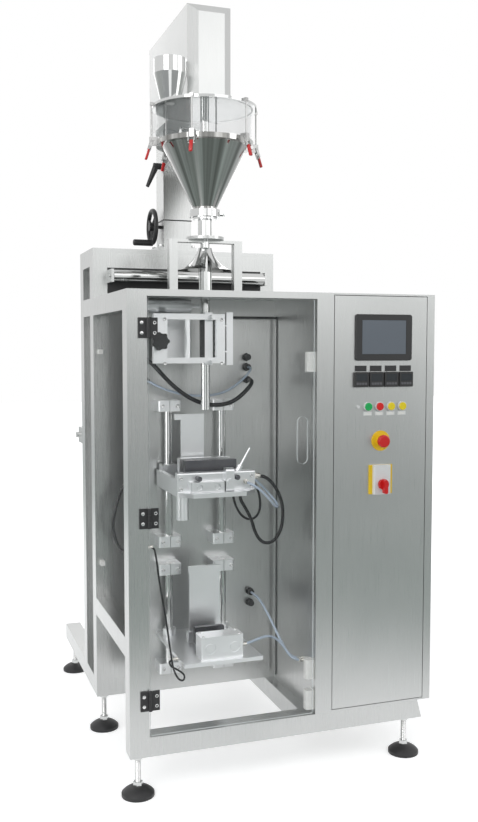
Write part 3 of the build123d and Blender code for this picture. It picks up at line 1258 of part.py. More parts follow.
def film_mandrel():
    """Shaft for the film reel with two centring cones, in the arms at the rear."""
    y = PORTAL_REAR + FILM_ARM_REACH - TUBE / 2
    z = BASE_Z + FILM_ARM_LIFT
    shaft = rod((4, y, z), ALONG_X, FILM_ARM / 2, PORTAL_WIDTH - 8)
    for start, along in ((MANDREL_INSET, 1), (PORTAL_WIDTH - MANDREL_INSET, -1)):
        cone = Cone(MANDREL_CONE_R, MANDREL_R, MANDREL_CONE_L, align=(Align.CENTER, Align.CENTER, Align.MIN))
        shaft += Plane(origin=(start, y, z), z_dir=(along, 0, 0)) * cone
    return [shaft]


# Glands and hoses


RIGHT_GLAND_X = AXIS_X + 195
LEFT_GLAND_X = AXIS_X - 160
LOWER_GLAND_X = AXIS_X + 207
RIGHT_GLANDS = (TOP_Z - 202, TOP_Z - 236, TOP_Z - 278)
LEFT_GLANDS = (TOP_Z - 214, TOP_Z - 280)
LOWER_GLANDS = (TRAY_DECK + 112, TRAY_DECK + 73)


def cable_glands():
    """Glands on the machine plate where hoses and leads pass through."""
    places = [(RIGHT_GLAND_X, z) for z in RIGHT_GLANDS]
    places += [(LEFT_GLAND_X, z) for z in LEFT_GLANDS]
    places += [(LOWER_GLAND_X, z) for z in LOWER_GLANDS]
    pieces = []
    for x, z in places:
        plane = Plane(origin=(x, BACK_PLATE_Y, z), z_dir=(0, -1, 0))
        nut = plane * extrude(RegularPolygon(GLAND_R, 6), GLAND_L * 0.4)
        neck = rod((x, BACK_PLATE_Y - GLAND_L * 0.4, z), (0, -1, 0), GLAND_R * 0.75, GLAND_L * 0.6)
        pieces.append(nut + neck)
    return pieces


def main_conduit():
    """Black conduit across the bay, the loop behind the side window and the lead to the tray."""
    y = BACK_PLATE_Y - GLAND_L
    start = (LEFT_GLAND_X, LEFT_GLANDS[0])
    end = (RIGHT_GLAND_X, RIGHT_GLANDS[2])
    sag = ((14, 76, -22), (55, 94, -72), (110, 100, -116), (172, 98, -142), (234, 94, -144), (288, 86, -126))
    points = [(start[0], y, start[1]), (start[0], y - 42, start[1])]
    points += [(start[0] + x, y - out, start[1] + z) for x, out, z in sag]
    across = hose(points + [(end[0], y - 72, end[1]), (end[0], y, end[1])], CONDUIT_R)
    rear = BACK_PLATE_Y + BACK_PLATE
    top = (BACK_PLATE_X + TUBE / 3, rear, TOP_Z - 615)
    swing = ((0, 0, 0), (0, 36, 0), (-18, 60, -12), (-42, 60, -68), (-58, 60, -134), (-58, 60, -176),
             (-44, 60, -226), (-18, 60, -252), (0, 36, -262), (0, 0, -262))
    loop = hose([(top[0] + right, top[1] + back, top[2] + up) for right, back, up in swing], LOOP_R)
    edge = (CARRIAGE_X[0], TRAY_FRONT + 80, TRAY_DECK - TRAY_PLATE / 2)
    hang = ((-79, -44, 345), (-65, -32, 250), (-46, -24, 158), (-30, -22, 40), (-20, -20, -26),
            (-2, -14, -62), (17, -10, -70), (22, -4, -52), (-2, 0, -34), (-24, 0, -22), (-28, 0, 0),
            (0, 0, 0))
    points = [(TUBE, TUBE / 2, edge[2] + 372), (TUBE + 22, TUBE / 2, edge[2] + 372)]
    points += [(edge[0] + right, edge[1] + back, edge[2] + up) for right, back, up in hang]
    return [across, loop, hose(points, LEAD_R)]


def upper_air_hose():
    """Clear air hose behind the conduit."""
    y = BACK_PLATE_Y - GLAND_L
    start = (LEFT_GLAND_X, LEFT_GLANDS[1])
    end = (RIGHT_GLAND_X, RIGHT_GLANDS[1])
    sag = ((24, 54, -16), (75, 62, -36), (132, 66, -47), (194, 66, -48), (250, 62, -38), (302, 58, -8))
    points = [(start[0], y, start[1]), (start[0], y - 34, start[1])]
    points += [(start[0] + x, y - out, start[1] + z) for x, out, z in sag]
    return [hose(points + [(end[0], y - 52, end[1]), (end[0], y, end[1])], AIR_HOSE_R)]


def lower_air_hose():
    """Clear air hoses from the plate and from the gripper's block to the cabinet's side."""
    y = BACK_PLATE_Y - GLAND_L
    x, z = LOWER_GLAND_X, LOWER_GLANDS[0]
    wall = (BAY_WIDTH, y - 234, z - 168)
    fall = ((0, 42, 0), (4, 83, -10), (13, 133, -46), (28, 190, -106))
    points = [(x, y, z)] + [(x + right, y - out, z + drop) for right, out, drop in fall]
    long = hose(points + [(wall[0] - 40, wall[1], wall[2]), wall], AIR_HOSE_R)
    side = AXIS_X + GRIP_BLOCK_W / 2
    front = sum(grip_block_y()) / 2
    low = TRAY_DECK + GRIP_BLOCK_H * 0.4
    rise = ((0, 0, 0), (27, 0, 0), (61, 4, 10), (99, 22, 10), (133, 42, -4), (164, 50, -34))
    points = [(side + right, front + back, low + up) for right, back, up in rise]
    end = (wall[0], wall[1] - 16, wall[2])
    return [long, hose(points + [(end[0] - 40, end[1], end[2]), end], AIR_HOSE_R)]


def carriage_loops():
    """Black air hoses that loop beside the carriage, from its guide block to its base plate."""
    right = CARRIAGE_X[1]
    deck = CARRIAGE_DECK
    top = (right, CARRIAGE_FRONT + GUIDE_T / 2, deck + 40)
    swing = ((0, 0, 0), (26, 0, 0), (62, 18, -18), (98, 40, -58), (124, 60, -108), (131, 75, -164),
             (124, 84, -206), (100, 90, -240), (66, 95, -240), (42, 99, -206), (30, 100, -160),
             (6, 100, -116), (-12, 100, -88))
    points = [(top[0] + x, top[1] + y, top[2] + z) for x, y, z in swing]
    large = hose(points + [(right - 12, top[1] + 100, CARRIAGE_LOW)], LOOP_R)
    under = (right - 22, CARRIAGE_FRONT + 152, CARRIAGE_LOW)
    swing = ((0, 0), (0, -26), (8, -60), (26, -94), (53, -114), (82, -109), (98, -79), (95, -31), (76, 14),
             (48, 34))
    points = [(under[0] + x, under[1], under[2] + z) for x, z in swing]
    return [large, hose(points + [(right, under[1], under[2] + 34)], AIR_HOSE_R)]


def carriage_air_hose():
    """Clear air hose from the guide block's front round to the carriage's right cheek."""
    right = CARRIAGE_X[1]
    start = (right - 32, CARRIAGE_FRONT, CARRIAGE_DECK + 25)
    swing = ((0, 0, 0), (0, -36, 0), (24, -50, -14), (64, -36, -50), (96, -10, -82), (118, 18, -92),
             (122, 44, -78), (104, 66, -52), (80, 92, -20), (58, 102, -4))
    points = [(start[0] + x, start[1] + y, start[2] + z) for x, y, z in swing]
    return [hose(points + [(right, start[1] + 102, start[2] - 4)], AIR_HOSE_R)]


# Every piece in its own file, moved so that the origin is on the floor in the middle
NODES = {
    "frame_tubes": lambda: frame_tubes() + roller_plates(),
    "sheet_panels": sheet_panels,
    "foot_pads": foot_pads,
    "foot_studs": foot_studs,
    "side_window": side_window,
    "clips_and_catches": clips_and_catches,
    "acrylic_door": acrylic_door,
    "fixed_hinge_leaves": fixed_hinge_leaves,
    "moving_hinge_leaves": moving_hinge_leaves,
    "cabinet_shell": cabinet_shell,
    "control_gear": control_gear,
    "cabinet_door": cabinet_door,
    "touchscreen": touchscreen,
    "temperature_controllers": temperature_controllers,
    "button_bezels": button_bezels,
    "yellow_plates": yellow_plates,
    "push_button_green": lambda: push_button(button_places()[0]),
    "push_button_red": lambda: push_button(button_places()[1]),
    "push_button_yellow_left": lambda: push_button(button_places()[2]),
    "push_button_yellow_right": lambda: push_button(button_places()[3]),
    "estop_head": estop_head,
    "isolator_knob": isolator_knob,
    "column_base": column_base,
    "column_sleeve": column_sleeve,
    "head_housing": head_housing,
    "drive_motors": drive_motors,
    "hopper_lid": hopper_lid,
    "hopper_cylinder": hopper_cylinder,
    "hopper_cone": hopper_cone,
    "latch_bases": latch_bases,
    "auger_tube": lambda: auger_tube() + tube_clamp(),
    "auger_screw": auger_screw,
    "agitator": agitator,
    "handwheel": handwheel,
    "clamp_lever": clamp_lever,
    "former_bracket": former_bracket,
    "forming_set": lambda: forming_tube() + forming_collar(),
    "guide_shafts": guide_shafts,
    "shaft_supports": shaft_supports,
    "jaw_carriage": jaw_carriage,
    "front_jaw": front_jaw,
    "lower_tray": lower_tray,
    "gripper_pad": gripper_pad,
    "sealer_frame": sealer_frame,
    "sealer_bar": sealer_bar,
    "star_knob": star_knob,
    "guide_roller": guide_roller,
    "film_mandrel": film_mandrel,
    "cable_glands": cable_glands,
    "main_conduit": main_conduit,
    "upper_air_hose": upper_air_hose,
    "lower_air_hose": lower_air_hose,
    "carriage_loops": carriage_loops,
    "carriage_air_hose": carriage_air_hose,
}
for number in range(LATCHES):
    NODES[f"latch_lever_{number + 1}"] = lambda i=number: latch_lever(i)

os.makedirs("parts", exist_ok=True)
centred = Pos(-CENTRE_X, -CENTRE_Y, 0)
for name, make in NODES.items():
    solids = [centred * solid for piece in make() for solid in piece.solids()]
    node = solids[0] if len(solids) == 1 else Compound(solids)
    export_step(node, f"parts/{name}.step")
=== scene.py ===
"""Looks of the vertical bagging machine with its auger powder filler."""
import math

import bpy
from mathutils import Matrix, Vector


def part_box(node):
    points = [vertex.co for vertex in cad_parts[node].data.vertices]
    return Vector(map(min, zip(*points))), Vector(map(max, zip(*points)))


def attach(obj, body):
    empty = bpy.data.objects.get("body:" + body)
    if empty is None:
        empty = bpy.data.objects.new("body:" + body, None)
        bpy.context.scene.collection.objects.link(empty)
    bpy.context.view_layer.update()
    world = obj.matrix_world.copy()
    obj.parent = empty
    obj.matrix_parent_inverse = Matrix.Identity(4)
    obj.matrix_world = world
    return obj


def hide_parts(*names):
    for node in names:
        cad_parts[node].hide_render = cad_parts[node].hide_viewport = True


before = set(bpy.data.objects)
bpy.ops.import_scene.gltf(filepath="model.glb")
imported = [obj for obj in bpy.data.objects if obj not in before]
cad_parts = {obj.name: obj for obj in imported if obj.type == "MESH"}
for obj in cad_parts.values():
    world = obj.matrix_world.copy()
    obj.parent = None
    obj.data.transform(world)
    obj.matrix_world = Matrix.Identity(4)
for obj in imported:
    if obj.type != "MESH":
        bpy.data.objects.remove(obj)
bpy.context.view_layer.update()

# Studio.
# A plain pale floor is white under and behind the machine and fades to a pale grey around it.
# Soft lamps stand at the left front, the right, behind and high in front, and one shines in
# through the side window.


def material(name):
    """A new material with its Principled shader."""
    mat = bpy.data.materials.new(name)
    mat.use_nodes = True
    return mat, mat.node_tree.nodes, mat.node_tree.links, mat.node_tree.nodes["Principled BSDF"]


def seen_rays(nodes, links):
    """One for rays that look at a surface: from the camera, off metal or through glass."""
    rays = nodes.new("ShaderNodeLightPath")
    first = nodes.new("ShaderNodeMath")
    first.operation = "MAXIMUM"
    links.new(rays.outputs["Is Camera Ray"], first.inputs[0])
    links.new(rays.outputs["Is Transmission Ray"], first.inputs[1])
    second = nodes.new("ShaderNodeMath")
    second.operation = "MAXIMUM"
    links.new(first.outputs[0], second.inputs[0])
    links.new(rays.outputs["Is Glossy Ray"], second.inputs[1])
    return second


floor_size = 40
grey_from, grey_to = 3, 11
near_grey = (0.25, 0.285, 0.27, 1)
far_grey = (0.42, 0.43, 0.43, 1)
sweep_white = (0.86, 0.86, 0.86, 1)
bpy.ops.object.select_all(action="DESELECT")
bpy.ops.mesh.primitive_plane_add(size=floor_size)
floor = bpy.context.object
floor.name = "studio_floor"
floor_mat, nodes, links, bsdf = material("studio_floor")
bsdf.inputs["Roughness"].default_value = 0.9
bsdf.inputs["Specular IOR Level"].default_value = 0.1
place = nodes.new("ShaderNodeTexCoord")
axes = nodes.new("ShaderNodeSeparateXYZ")
links.new(place.outputs["Object"], axes.inputs[0])


def edge_of_sweep(lean, outside, inside):
    """Ramp from 0 to 1 across one edge of the sweep, which leans along y."""
    side = nodes.new("ShaderNodeMath")
    side.operation = "MULTIPLY_ADD"
    side.inputs[1].default_value = -lean
    links.new(axes.outputs["Y"], side.inputs[0])
    links.new(axes.outputs["X"], side.inputs[2])
    ramp = nodes.new("ShaderNodeMapRange")
    ramp.interpolation_type = "SMOOTHSTEP"
    ramp.inputs["From Min"].default_value = outside
    ramp.inputs["From Max"].default_value = inside
    links.new(side.outputs[0], ramp.inputs["Value"])
    return ramp


left_edge = edge_of_sweep(0.083, -2.2, -1.0)
right_edge = edge_of_sweep(0.67, 2.7, 1.3)
front_edge = nodes.new("ShaderNodeMapRange")
front_edge.interpolation_type = "SMOOTHSTEP"
front_edge.inputs["From Min"].default_value = -2.2
front_edge.inputs["From Max"].default_value = -1.0
links.new(axes.outputs["Y"], front_edge.inputs["Value"])
sides = nodes.new("ShaderNodeMath")
sides.operation = "MINIMUM"
links.new(left_edge.outputs[0], sides.inputs[0])
links.new(right_edge.outputs[0], sides.inputs[1])
sweep = nodes.new("ShaderNodeMath")
sweep.operation = "MINIMUM"
links.new(sides.outputs[0], sweep.inputs[0])
links.new(front_edge.outputs[0], sweep.inputs[1])
span = nodes.new("ShaderNodeVectorMath")
span.operation = "LENGTH"
links.new(place.outputs["Object"], span.inputs[0])
depth = nodes.new("ShaderNodeMapRange")
depth.inputs["From Min"].default_value = grey_from
depth.inputs["From Max"].default_value = grey_to
links.new(span.outputs["Value"], depth.inputs["Value"])
around = nodes.new("ShaderNodeMix")
around.data_type = "RGBA"
around.inputs["A"].default_value = near_grey
around.inputs["B"].default_value = far_grey
links.new(depth.outputs[0], around.inputs["Factor"])
painted = nodes.new("ShaderNodeMix")
painted.data_type = "RGBA"
painted.inputs["B"].default_value = sweep_white
links.new(sweep.outputs[0], painted.inputs["Factor"])
links.new(around.outputs["Result"], painted.inputs["A"])
links.new(painted.outputs["Result"], bsdf.inputs["Base Color"])
far_glow = nodes.new("ShaderNodeMapRange")
far_glow.inputs["From Min"].default_value = 0.6
far_glow.inputs["From Max"].default_value = 3.0
far_glow.inputs["To Min"].default_value = 0.54
far_glow.inputs["To Max"].default_value = 1.1
links.new(axes.outputs["Y"], far_glow.inputs["Value"])
seen = seen_rays(nodes, links)
lift = nodes.new("ShaderNodeEmission")
links.new(painted.outputs["Result"], lift.inputs["Color"])
strength = nodes.new("ShaderNodeMath")
strength.operation = "MULTIPLY"
links.new(seen.outputs[0], strength.inputs[0])
links.new(far_glow.outputs[0], strength.inputs[1])
links.new(strength.outputs[0], lift.inputs["Strength"])
added = nodes.new("ShaderNodeAddShader")
links.new(bsdf.outputs[0], added.inputs[0])
links.new(lift.outputs[0], added.inputs[1])
links.new(added.outputs[0], nodes["Material Output"].inputs["Surface"])
floor.data.materials.append(floor_mat)

photo_direction = (0.330, 0.944, 0)
world = bpy.data.worlds.new("studio")
bpy.context.scene.world = world
world.use_nodes = True
nodes = world.node_tree.nodes
links = world.node_tree.links
sky = nodes["Background"]
direction = nodes.new("ShaderNodeTexCoord")
split = nodes.new("ShaderNodeSeparateXYZ")
links.new(direction.outputs["Generated"], split.inputs[0])
height = nodes.new("ShaderNodeValToRGB")
height.color_ramp.elements[0].color = (0.30, 0.33, 0.32, 1)
height.color_ramp.elements[1].position = 0.75
height.color_ramp.elements[1].color = (0.92, 0.93, 0.95, 1)
links.new(split.outputs["Z"], height.inputs["Fac"])
links.new(height.outputs["Color"], sky.inputs["Color"])
sky.inputs["Strength"].default_value = 0.62
white = nodes.new("ShaderNodeBackground")
hall = nodes.new("ShaderNodeValToRGB")
hall.color_ramp.elements[0].color = (0.50, 0.52, 0.51, 1)
hall.color_ramp.elements[1].position = 0.14
hall.color_ramp.elements[1].color = (1, 1, 1, 1)
wall = hall.color_ramp.elements.new(0.05)
wall.color = (0.62, 0.64, 0.63, 1)
links.new(split.outputs["Z"], hall.inputs["Fac"])
sight = nodes.new("ShaderNodeVectorMath")
sight.operation = "DOT_PRODUCT"
sight.inputs[1].default_value = photo_direction
links.new(direction.outputs["Generated"], sight.inputs[0])
backdrop = nodes.new("ShaderNodeMapRange")
backdrop.inputs["From Min"].default_value = 0.60
backdrop.inputs["From Max"].default_value = 0.86
links.new(sight.outputs["Value"], backdrop.inputs["Value"])
surround = nodes.new("ShaderNodeMix")
surround.data_type = "RGBA"
surround.inputs["B"].default_value = (1, 1, 1, 1)
links.new(backdrop.outputs[0], surround.inputs["Factor"])
links.new(hall.outputs["Color"], surround.inputs["A"])
links.new(surround.outputs["Result"], white.inputs["Color"])
seen = seen_rays(nodes, links)
either = nodes.new("ShaderNodeMixShader")
links.new(seen.outputs[0], either.inputs["Fac"])
links.new(sky.outputs[0], either.inputs[1])
links.new(white.outputs[0], either.inputs[2])
links.new(either.outputs[0], nodes["World Output"].inputs["Surface"])


def soft_lamp(name, place, target, size, power):
    """A rectangular lamp that points at a target."""
    bpy.ops.object.light_add(type="AREA", location=place)
    lamp = bpy.context.object
    lamp.name = name
    lamp.data.shape = "RECTANGLE"
    lamp.data.size, lamp.data.size_y = size
    lamp.data.energy = power
    aim = Vector(target) - Vector(place)
    lamp.rotation_euler = aim.to_track_quat("-Z", "Y").to_euler()


soft_lamp("key_lamp", (-3.2, -3.4, 3.6), (0, -0.2, 1.2), (2.2, 3.0), 74)
soft_lamp("fill_lamp", (3.6, -3.0, 2.2), (0.2, -0.4, 1.1), (2.0, 3.2), 36)
soft_lamp("rear_lamp", (0.5, 3.6, 3.2), (0, 0.2, 1.3), (3.0, 2.0), 34)
soft_lamp("high_lamp", (1.3, -4.7, 3.0), (-0.1, -0.4, 1.5), (2.4, 2.8), 20)
soft_lamp("bay_lamp", (-1.5, -4.4, 1.4), (-0.2, -0.4, 0.9), (1.6, 2.0), 9)
soft_lamp("window_lamp", (-3.0, -1.0, 1.0), (-0.3, 0.1, 0.8), (1.2, 1.2), 14)

# Camera.
# It stands where the photographer stood, a little left of the machine and at chest height,
# with the focal length found from the frame's edges.
camera_place = (-1.0731, -3.2260, 1.3457)
camera_yaw = math.radians(19.266)
camera_pitch = math.radians(-3.845)
focal_pixels = 923.0
picture_height = 822
bpy.ops.object.camera_add(location=camera_place)
camera = bpy.context.object
camera.rotation_euler = (math.pi / 2 + camera_pitch, 0, -camera_yaw)
camera.data.sensor_fit = "VERTICAL"
camera.data.sensor_height = 36
camera.data.lens = focal_pixels / picture_height * camera.data.sensor_height
bpy.context.scene.camera = camera
bpy.context.scene.view_settings.view_transform = "Standard"

# Hoses.
# A black conduit and a clear air hose sag across the bay between glands in the machine
# plate, a black hose loops behind the side window, a thin lead hangs from the left post to
# the tray, and two more air hoses run to the cabinet's side.
plate_face = -0.26


def hose(name, node, body, points, thickness, mat):
    """A bevelled NURBS hose along given points, fixed at both ends."""
    line = bpy.data.curves.new(name, "CURVE")
    line.dimensions = "3D"
    line.bevel_depth = thickness / 2
    line.bevel_resolution = 5
    line.resolution_u = 10
    line.use_fill_caps = True
    spline = line.splines.new("NURBS")
    spline.points.add(len(points) - 1)
    for knot, point in zip(spline.points, points):
        knot.co = (*point, 1)
    spline.order_u = 3
    spline.use_endpoint_u = True
    piece = bpy.data.objects.new(name, line)
    bpy.context.collection.objects.link(piece)
    line.materials.append(mat)
    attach(piece, body)
    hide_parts(node)


conduit_mat, nodes, links, bsdf = material("black_conduit")
place = nodes.new("ShaderNodeTexCoord")
scuff = nodes.new("ShaderNodeTexNoise")
scuff.inputs["Scale"].default_value = 60
scuff.inputs["Detail"].default_value = 4
links.new(place.outputs["Object"], scuff.inputs["Vector"])
tone = nodes.new("ShaderNodeValToRGB")
tone.color_ramp.elements[0].color = (0.005, 0.005, 0.006, 1)
tone.color_ramp.elements[1].color = (0.016, 0.016, 0.018, 1)
links.new(scuff.outputs["Fac"], tone.inputs["Fac"])
links.new(tone.outputs["Color"], bsdf.inputs["Base Color"])
bsdf.inputs["Roughness"].default_value = 0.34
bsdf.inputs["Specular IOR Level"].default_value = 0.35

air_mat, nodes, links, bsdf = material("clear_air_hose")
place = nodes.new("ShaderNodeTexCoord")
cloud = nodes.new("ShaderNodeTexNoise")
cloud.inputs["Scale"].default_value = 25
links.new(place.outputs["Object"], cloud.inputs["Vector"])
tone = nodes.new("ShaderNodeValToRGB")
tone.color_ramp.elements[0].color = (0.42, 0.52, 0.66, 1)
tone.color_ramp.elements[1].color = (0.62, 0.70, 0.80, 1)
links.new(cloud.outputs["Fac"], tone.inputs["Fac"])
links.new(tone.outputs["Color"], bsdf.inputs["Base Color"])
bsdf.inputs["Roughness"].default_value = 0.16
bsdf.inputs["Alpha"].default_value = 0.82

hose("conduit", "main_conduit", "machine_frame",
     [(-0.3575, plate_face, 1.3060), (-0.3575, -0.3020, 1.3060), (-0.3435, -0.3360, 1.2840),
      (-0.3025, -0.3540, 1.2340), (-0.2475, -0.3600, 1.1900), (-0.1855, -0.3580, 1.1640),
      (-0.1235, -0.3540, 1.1620), (-0.0695, -0.3460, 1.1800), (-0.0025, -0.3320, 1.2420),
      (-0.0025, plate_face, 1.2420)], 0.014, conduit_mat)
hose("window_loop", "main_conduit", "machine_frame",
     [(-0.3975, -0.2280, 0.9050), (-0.3975, -0.1920, 0.9050), (-0.4155, -0.1680, 0.8930),
      (-0.4395, -0.1680, 0.8370), (-0.4555, -0.1680, 0.7710), (-0.4555, -0.1680, 0.7290),
      (-0.4415, -0.1680, 0.6790), (-0.4155, -0.1680, 0.6530), (-0.3975, -0.1920, 0.6430),
      (-0.3975, -0.2280, 0.6430)], 0.011, conduit_mat)
hose("tray_lead", "main_conduit", "machine_frame",
     [(-0.4375, -0.5680, 0.7561), (-0.4155, -0.5680, 0.7561), (-0.4035, -0.5500, 0.7291),
      (-0.3895, -0.5380, 0.6341), (-0.3705, -0.5300, 0.5421), (-0.3545, -0.5280, 0.4241),
      (-0.3445, -0.5260, 0.3581), (-0.3265, -0.5200, 0.3221), (-0.3075, -0.5160, 0.3141),
      (-0.3025, -0.5100, 0.3321), (-0.3265, -0.5060, 0.3501), (-0.3485, -0.5060, 0.3621),
      (-0.3525, -0.5060, 0.3841), (-0.3245, -0.5060, 0.3841)], 0.006, conduit_mat)
hose("upper_hose", "upper_air_hose", "machine_frame",
     [(-0.3575, plate_face, 1.2400), (-0.3575, -0.2940, 1.2400), (-0.3335, -0.3140, 1.2240),
      (-0.2825, -0.3220, 1.2040), (-0.2255, -0.3260, 1.1930), (-0.1635, -0.3260, 1.1920),
      (-0.1075, -0.3220, 1.2020), (-0.0555, -0.3180, 1.2320), (-0.0025, -0.3120, 1.2840),
      (-0.0025, plate_face, 1.2840)], 0.008, air_mat)
hose("lower_hose", "lower_air_hose", "machine_frame",
     [(0.0095, plate_face, 0.5021), (0.0095, -0.3020, 0.5021), (0.0135, -0.3430, 0.4921),
      (0.0225, -0.3930, 0.4561), (0.0375, -0.4500, 0.3961), (0.0625, -0.4940, 0.3341),
      (0.1025, -0.4940, 0.3341)], 0.008, air_mat)
hose("gripper_hose", "lower_air_hose", "machine_frame",
     [(-0.1285, -0.5355, 0.4181), (-0.1015, -0.5355, 0.4181), (-0.0675, -0.5315, 0.4281),
      (-0.0295, -0.5135, 0.4281), (0.0045, -0.4935, 0.4141), (0.0355, -0.4855, 0.3841),
      (0.0625, -0.5100, 0.3341), (0.1025, -0.5100, 0.3341)], 0.008, air_mat)

# Hoses on the carriage.
# Two black air hoses and a clear one loop beside the jaw carriage and travel with it. Each
# is pushed into a fitting at both ends.
hose("large_loop", "carriage_loops", "jaw_carriage",
     [(-0.0705, -0.4980, 0.9449), (-0.0445, -0.4980, 0.9449), (-0.0085, -0.4800, 0.9269),
      (0.0275, -0.4580, 0.8869), (0.0535, -0.4380, 0.8369), (0.0605, -0.4230, 0.7809),
      (0.0535, -0.4140, 0.7389), (0.0295, -0.4080, 0.7049), (-0.0045, -0.4030, 0.7049),
      (-0.0285, -0.3990, 0.7389), (-0.0405, -0.3980, 0.7849), (-0.0645, -0.3980, 0.8289),
      (-0.0825, -0.3980, 0.8569), (-0.0825, -0.3980, 0.8909)], 0.011, conduit_mat)
hose("small_loop", "carriage_loops", "jaw_carriage",
     [(-0.0925, -0.3580, 0.8909), (-0.0925, -0.3580, 0.8649), (-0.0845, -0.3580, 0.8309),
      (-0.0665, -0.3580, 0.7969), (-0.0395, -0.3580, 0.7769), (-0.0105, -0.3580, 0.7819),
      (0.0055, -0.3580, 0.8119), (0.0025, -0.3580, 0.8599), (-0.0165, -0.3580, 0.9049),
      (-0.0445, -0.3580, 0.9249), (-0.0705, -0.3580, 0.9249)], 0.008, conduit_mat)
hose("jaw_hose", "carriage_air_hose", "jaw_carriage",
     [(-0.1025, -0.5100, 0.9299), (-0.1025, -0.5460, 0.9299), (-0.0785, -0.5600, 0.9159),
      (-0.0385, -0.5460, 0.8799), (-0.0065, -0.5200, 0.8479), (0.0155, -0.4920, 0.8379),
      (0.0195, -0.4660, 0.8519), (0.0015, -0.4440, 0.8779), (-0.0225, -0.4180, 0.9099),
      (-0.0445, -0.4080, 0.9259), (-0.0705, -0.4080, 0.9259)], 0.008, air_mat)

# Frame, plates and cabinet.
# Square tubes and folded sheets of stainless steel, brushed along their length. The brushing
# shows as fine lines in the gloss, and wiping leaves wide faint smears.


def brushed_group():
    """Node group: fine brushed lines and wide smears from a stretched position."""
    group = bpy.data.node_groups.new("brushed_lines", "ShaderNodeTree")
    group.interface.new_socket("Stretched", in_out="INPUT", socket_type="NodeSocketVector")
    group.interface.new_socket("Position", in_out="INPUT", socket_type="NodeSocketVector")
    group.interface.new_socket("Lines", in_out="OUTPUT", socket_type="NodeSocketFloat")
    group.interface.new_socket("Smears", in_out="OUTPUT", socket_type="NodeSocketFloat")
    source = group.nodes.new("NodeGroupInput")
    result = group.nodes.new("NodeGroupOutput")
    fine = group.nodes.new("ShaderNodeTexNoise")
    fine.inputs["Scale"].default_value = 1
    fine.inputs["Detail"].default_value = 3
    wide = group.nodes.new("ShaderNodeTexNoise")
    wide.inputs["Scale"].default_value = 3.2
    wide.inputs["Detail"].default_value = 3
    wide.inputs["Distortion"].default_value = 0.6
    group.links.new(source.outputs["Stretched"], fine.inputs["Vector"])
    group.links.new(source.outputs["Position"], wide.inputs["Vector"])
    group.links.new(fine.outputs["Fac"], result.inputs["Lines"])
    group.links.new(wide.outputs["Fac"], result.inputs["Smears"])
    return group


brushed_lines = brushed_group()


def brushed_steel(name, stretch, dark, light, gloss):
    """Brushed stainless steel; stretch gives the grain's direction, gloss its roughness range."""
    mat, nodes, links, bsdf = material(name)
    place = nodes.new("ShaderNodeTexCoord")
    along = nodes.new("ShaderNodeMapping")
    along.inputs["Scale"].default_value = stretch
    links.new(place.outputs["Object"], along.inputs["Vector"])
    lines = nodes.new("ShaderNodeGroup")
    lines.node_tree = brushed_lines
    links.new(along.outputs[0], lines.inputs["Stretched"])
    links.new(place.outputs["Object"], lines.inputs["Position"])
    tone = nodes.new("ShaderNodeValToRGB")
    tone.color_ramp.elements[0].position = 0.3
    tone.color_ramp.elements[0].color = (*dark, 1)
    tone.color_ramp.elements[1].position = 0.7
    tone.color_ramp.elements[1].color = (*light, 1)
    links.new(lines.outputs["Smears"], tone.inputs["Fac"])
    links.new(tone.outputs["Color"], bsdf.inputs["Base Color"])
    rough = nodes.new("ShaderNodeMapRange")
    rough.inputs["From Min"].default_value = 0.3
    rough.inputs["From Max"].default_value = 0.7
    rough.inputs["To Min"].default_value = gloss[0]
    rough.inputs["To Max"].default_value = gloss[1]
    links.new(lines.outputs["Lines"], rough.inputs["Value"])
    links.new(rough.outputs[0], bsdf.inputs["Roughness"])
    bump = nodes.new("ShaderNodeBump")
    bump.inputs["Strength"].default_value = 0.02
    bump.inputs["Distance"].default_value = 0.0003
    links.new(lines.outputs["Lines"], bump.inputs["Height"])
    links.new(bump.outputs[0], bsdf.inputs["Normal"])
    bsdf.inputs["Metallic"].default_value = 1
    return mat


def dress(finish, *names):
    """Give CAD nodes a finish through their material slots."""
    for name in names:
        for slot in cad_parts[name].material_slots:
            slot.material = finish


upright_steel = brushed_steel("steel_brushed_upright", (2400, 2400, 7), (0.52, 0.53, 0.525),
                              (0.56, 0.565, 0.56), (0.24, 0.31))
sheet_steel = brushed_steel("steel_brushed_sheet", (2000, 2000, 6), (0.53, 0.54, 0.535),
                            (0.57, 0.575, 0.57), (0.26, 0.34))
dress(upright_steel, "frame_tubes", "column_base", "column_sleeve", "former_bracket")
dress(sheet_steel, "cabinet_shell", "cabinet_door", "sheet_panels", "head_housing")

# Polished steel.
# Hopper, pipe clamp, tubes, forming collar and shafts are spun or drawn stainless steel,
# polished, with faint wiping marks. The cone's colour has painted reflections: dark and bright
# bands round its axis run down its sides. The latches' bases are zinc-plated sheet.
hopper_x, hopper_y = -0.1975, -0.393
polished = brushed_steel("steel_polished", (60, 60, 60), (0.56, 0.57, 0.565), (0.63, 0.635, 0.63),
                         (0.06, 0.12))
dress(polished, "hopper_lid", "auger_tube", "auger_screw", "agitator",
      "forming_set", "guide_shafts", "guide_roller", "film_mandrel", "foot_studs")

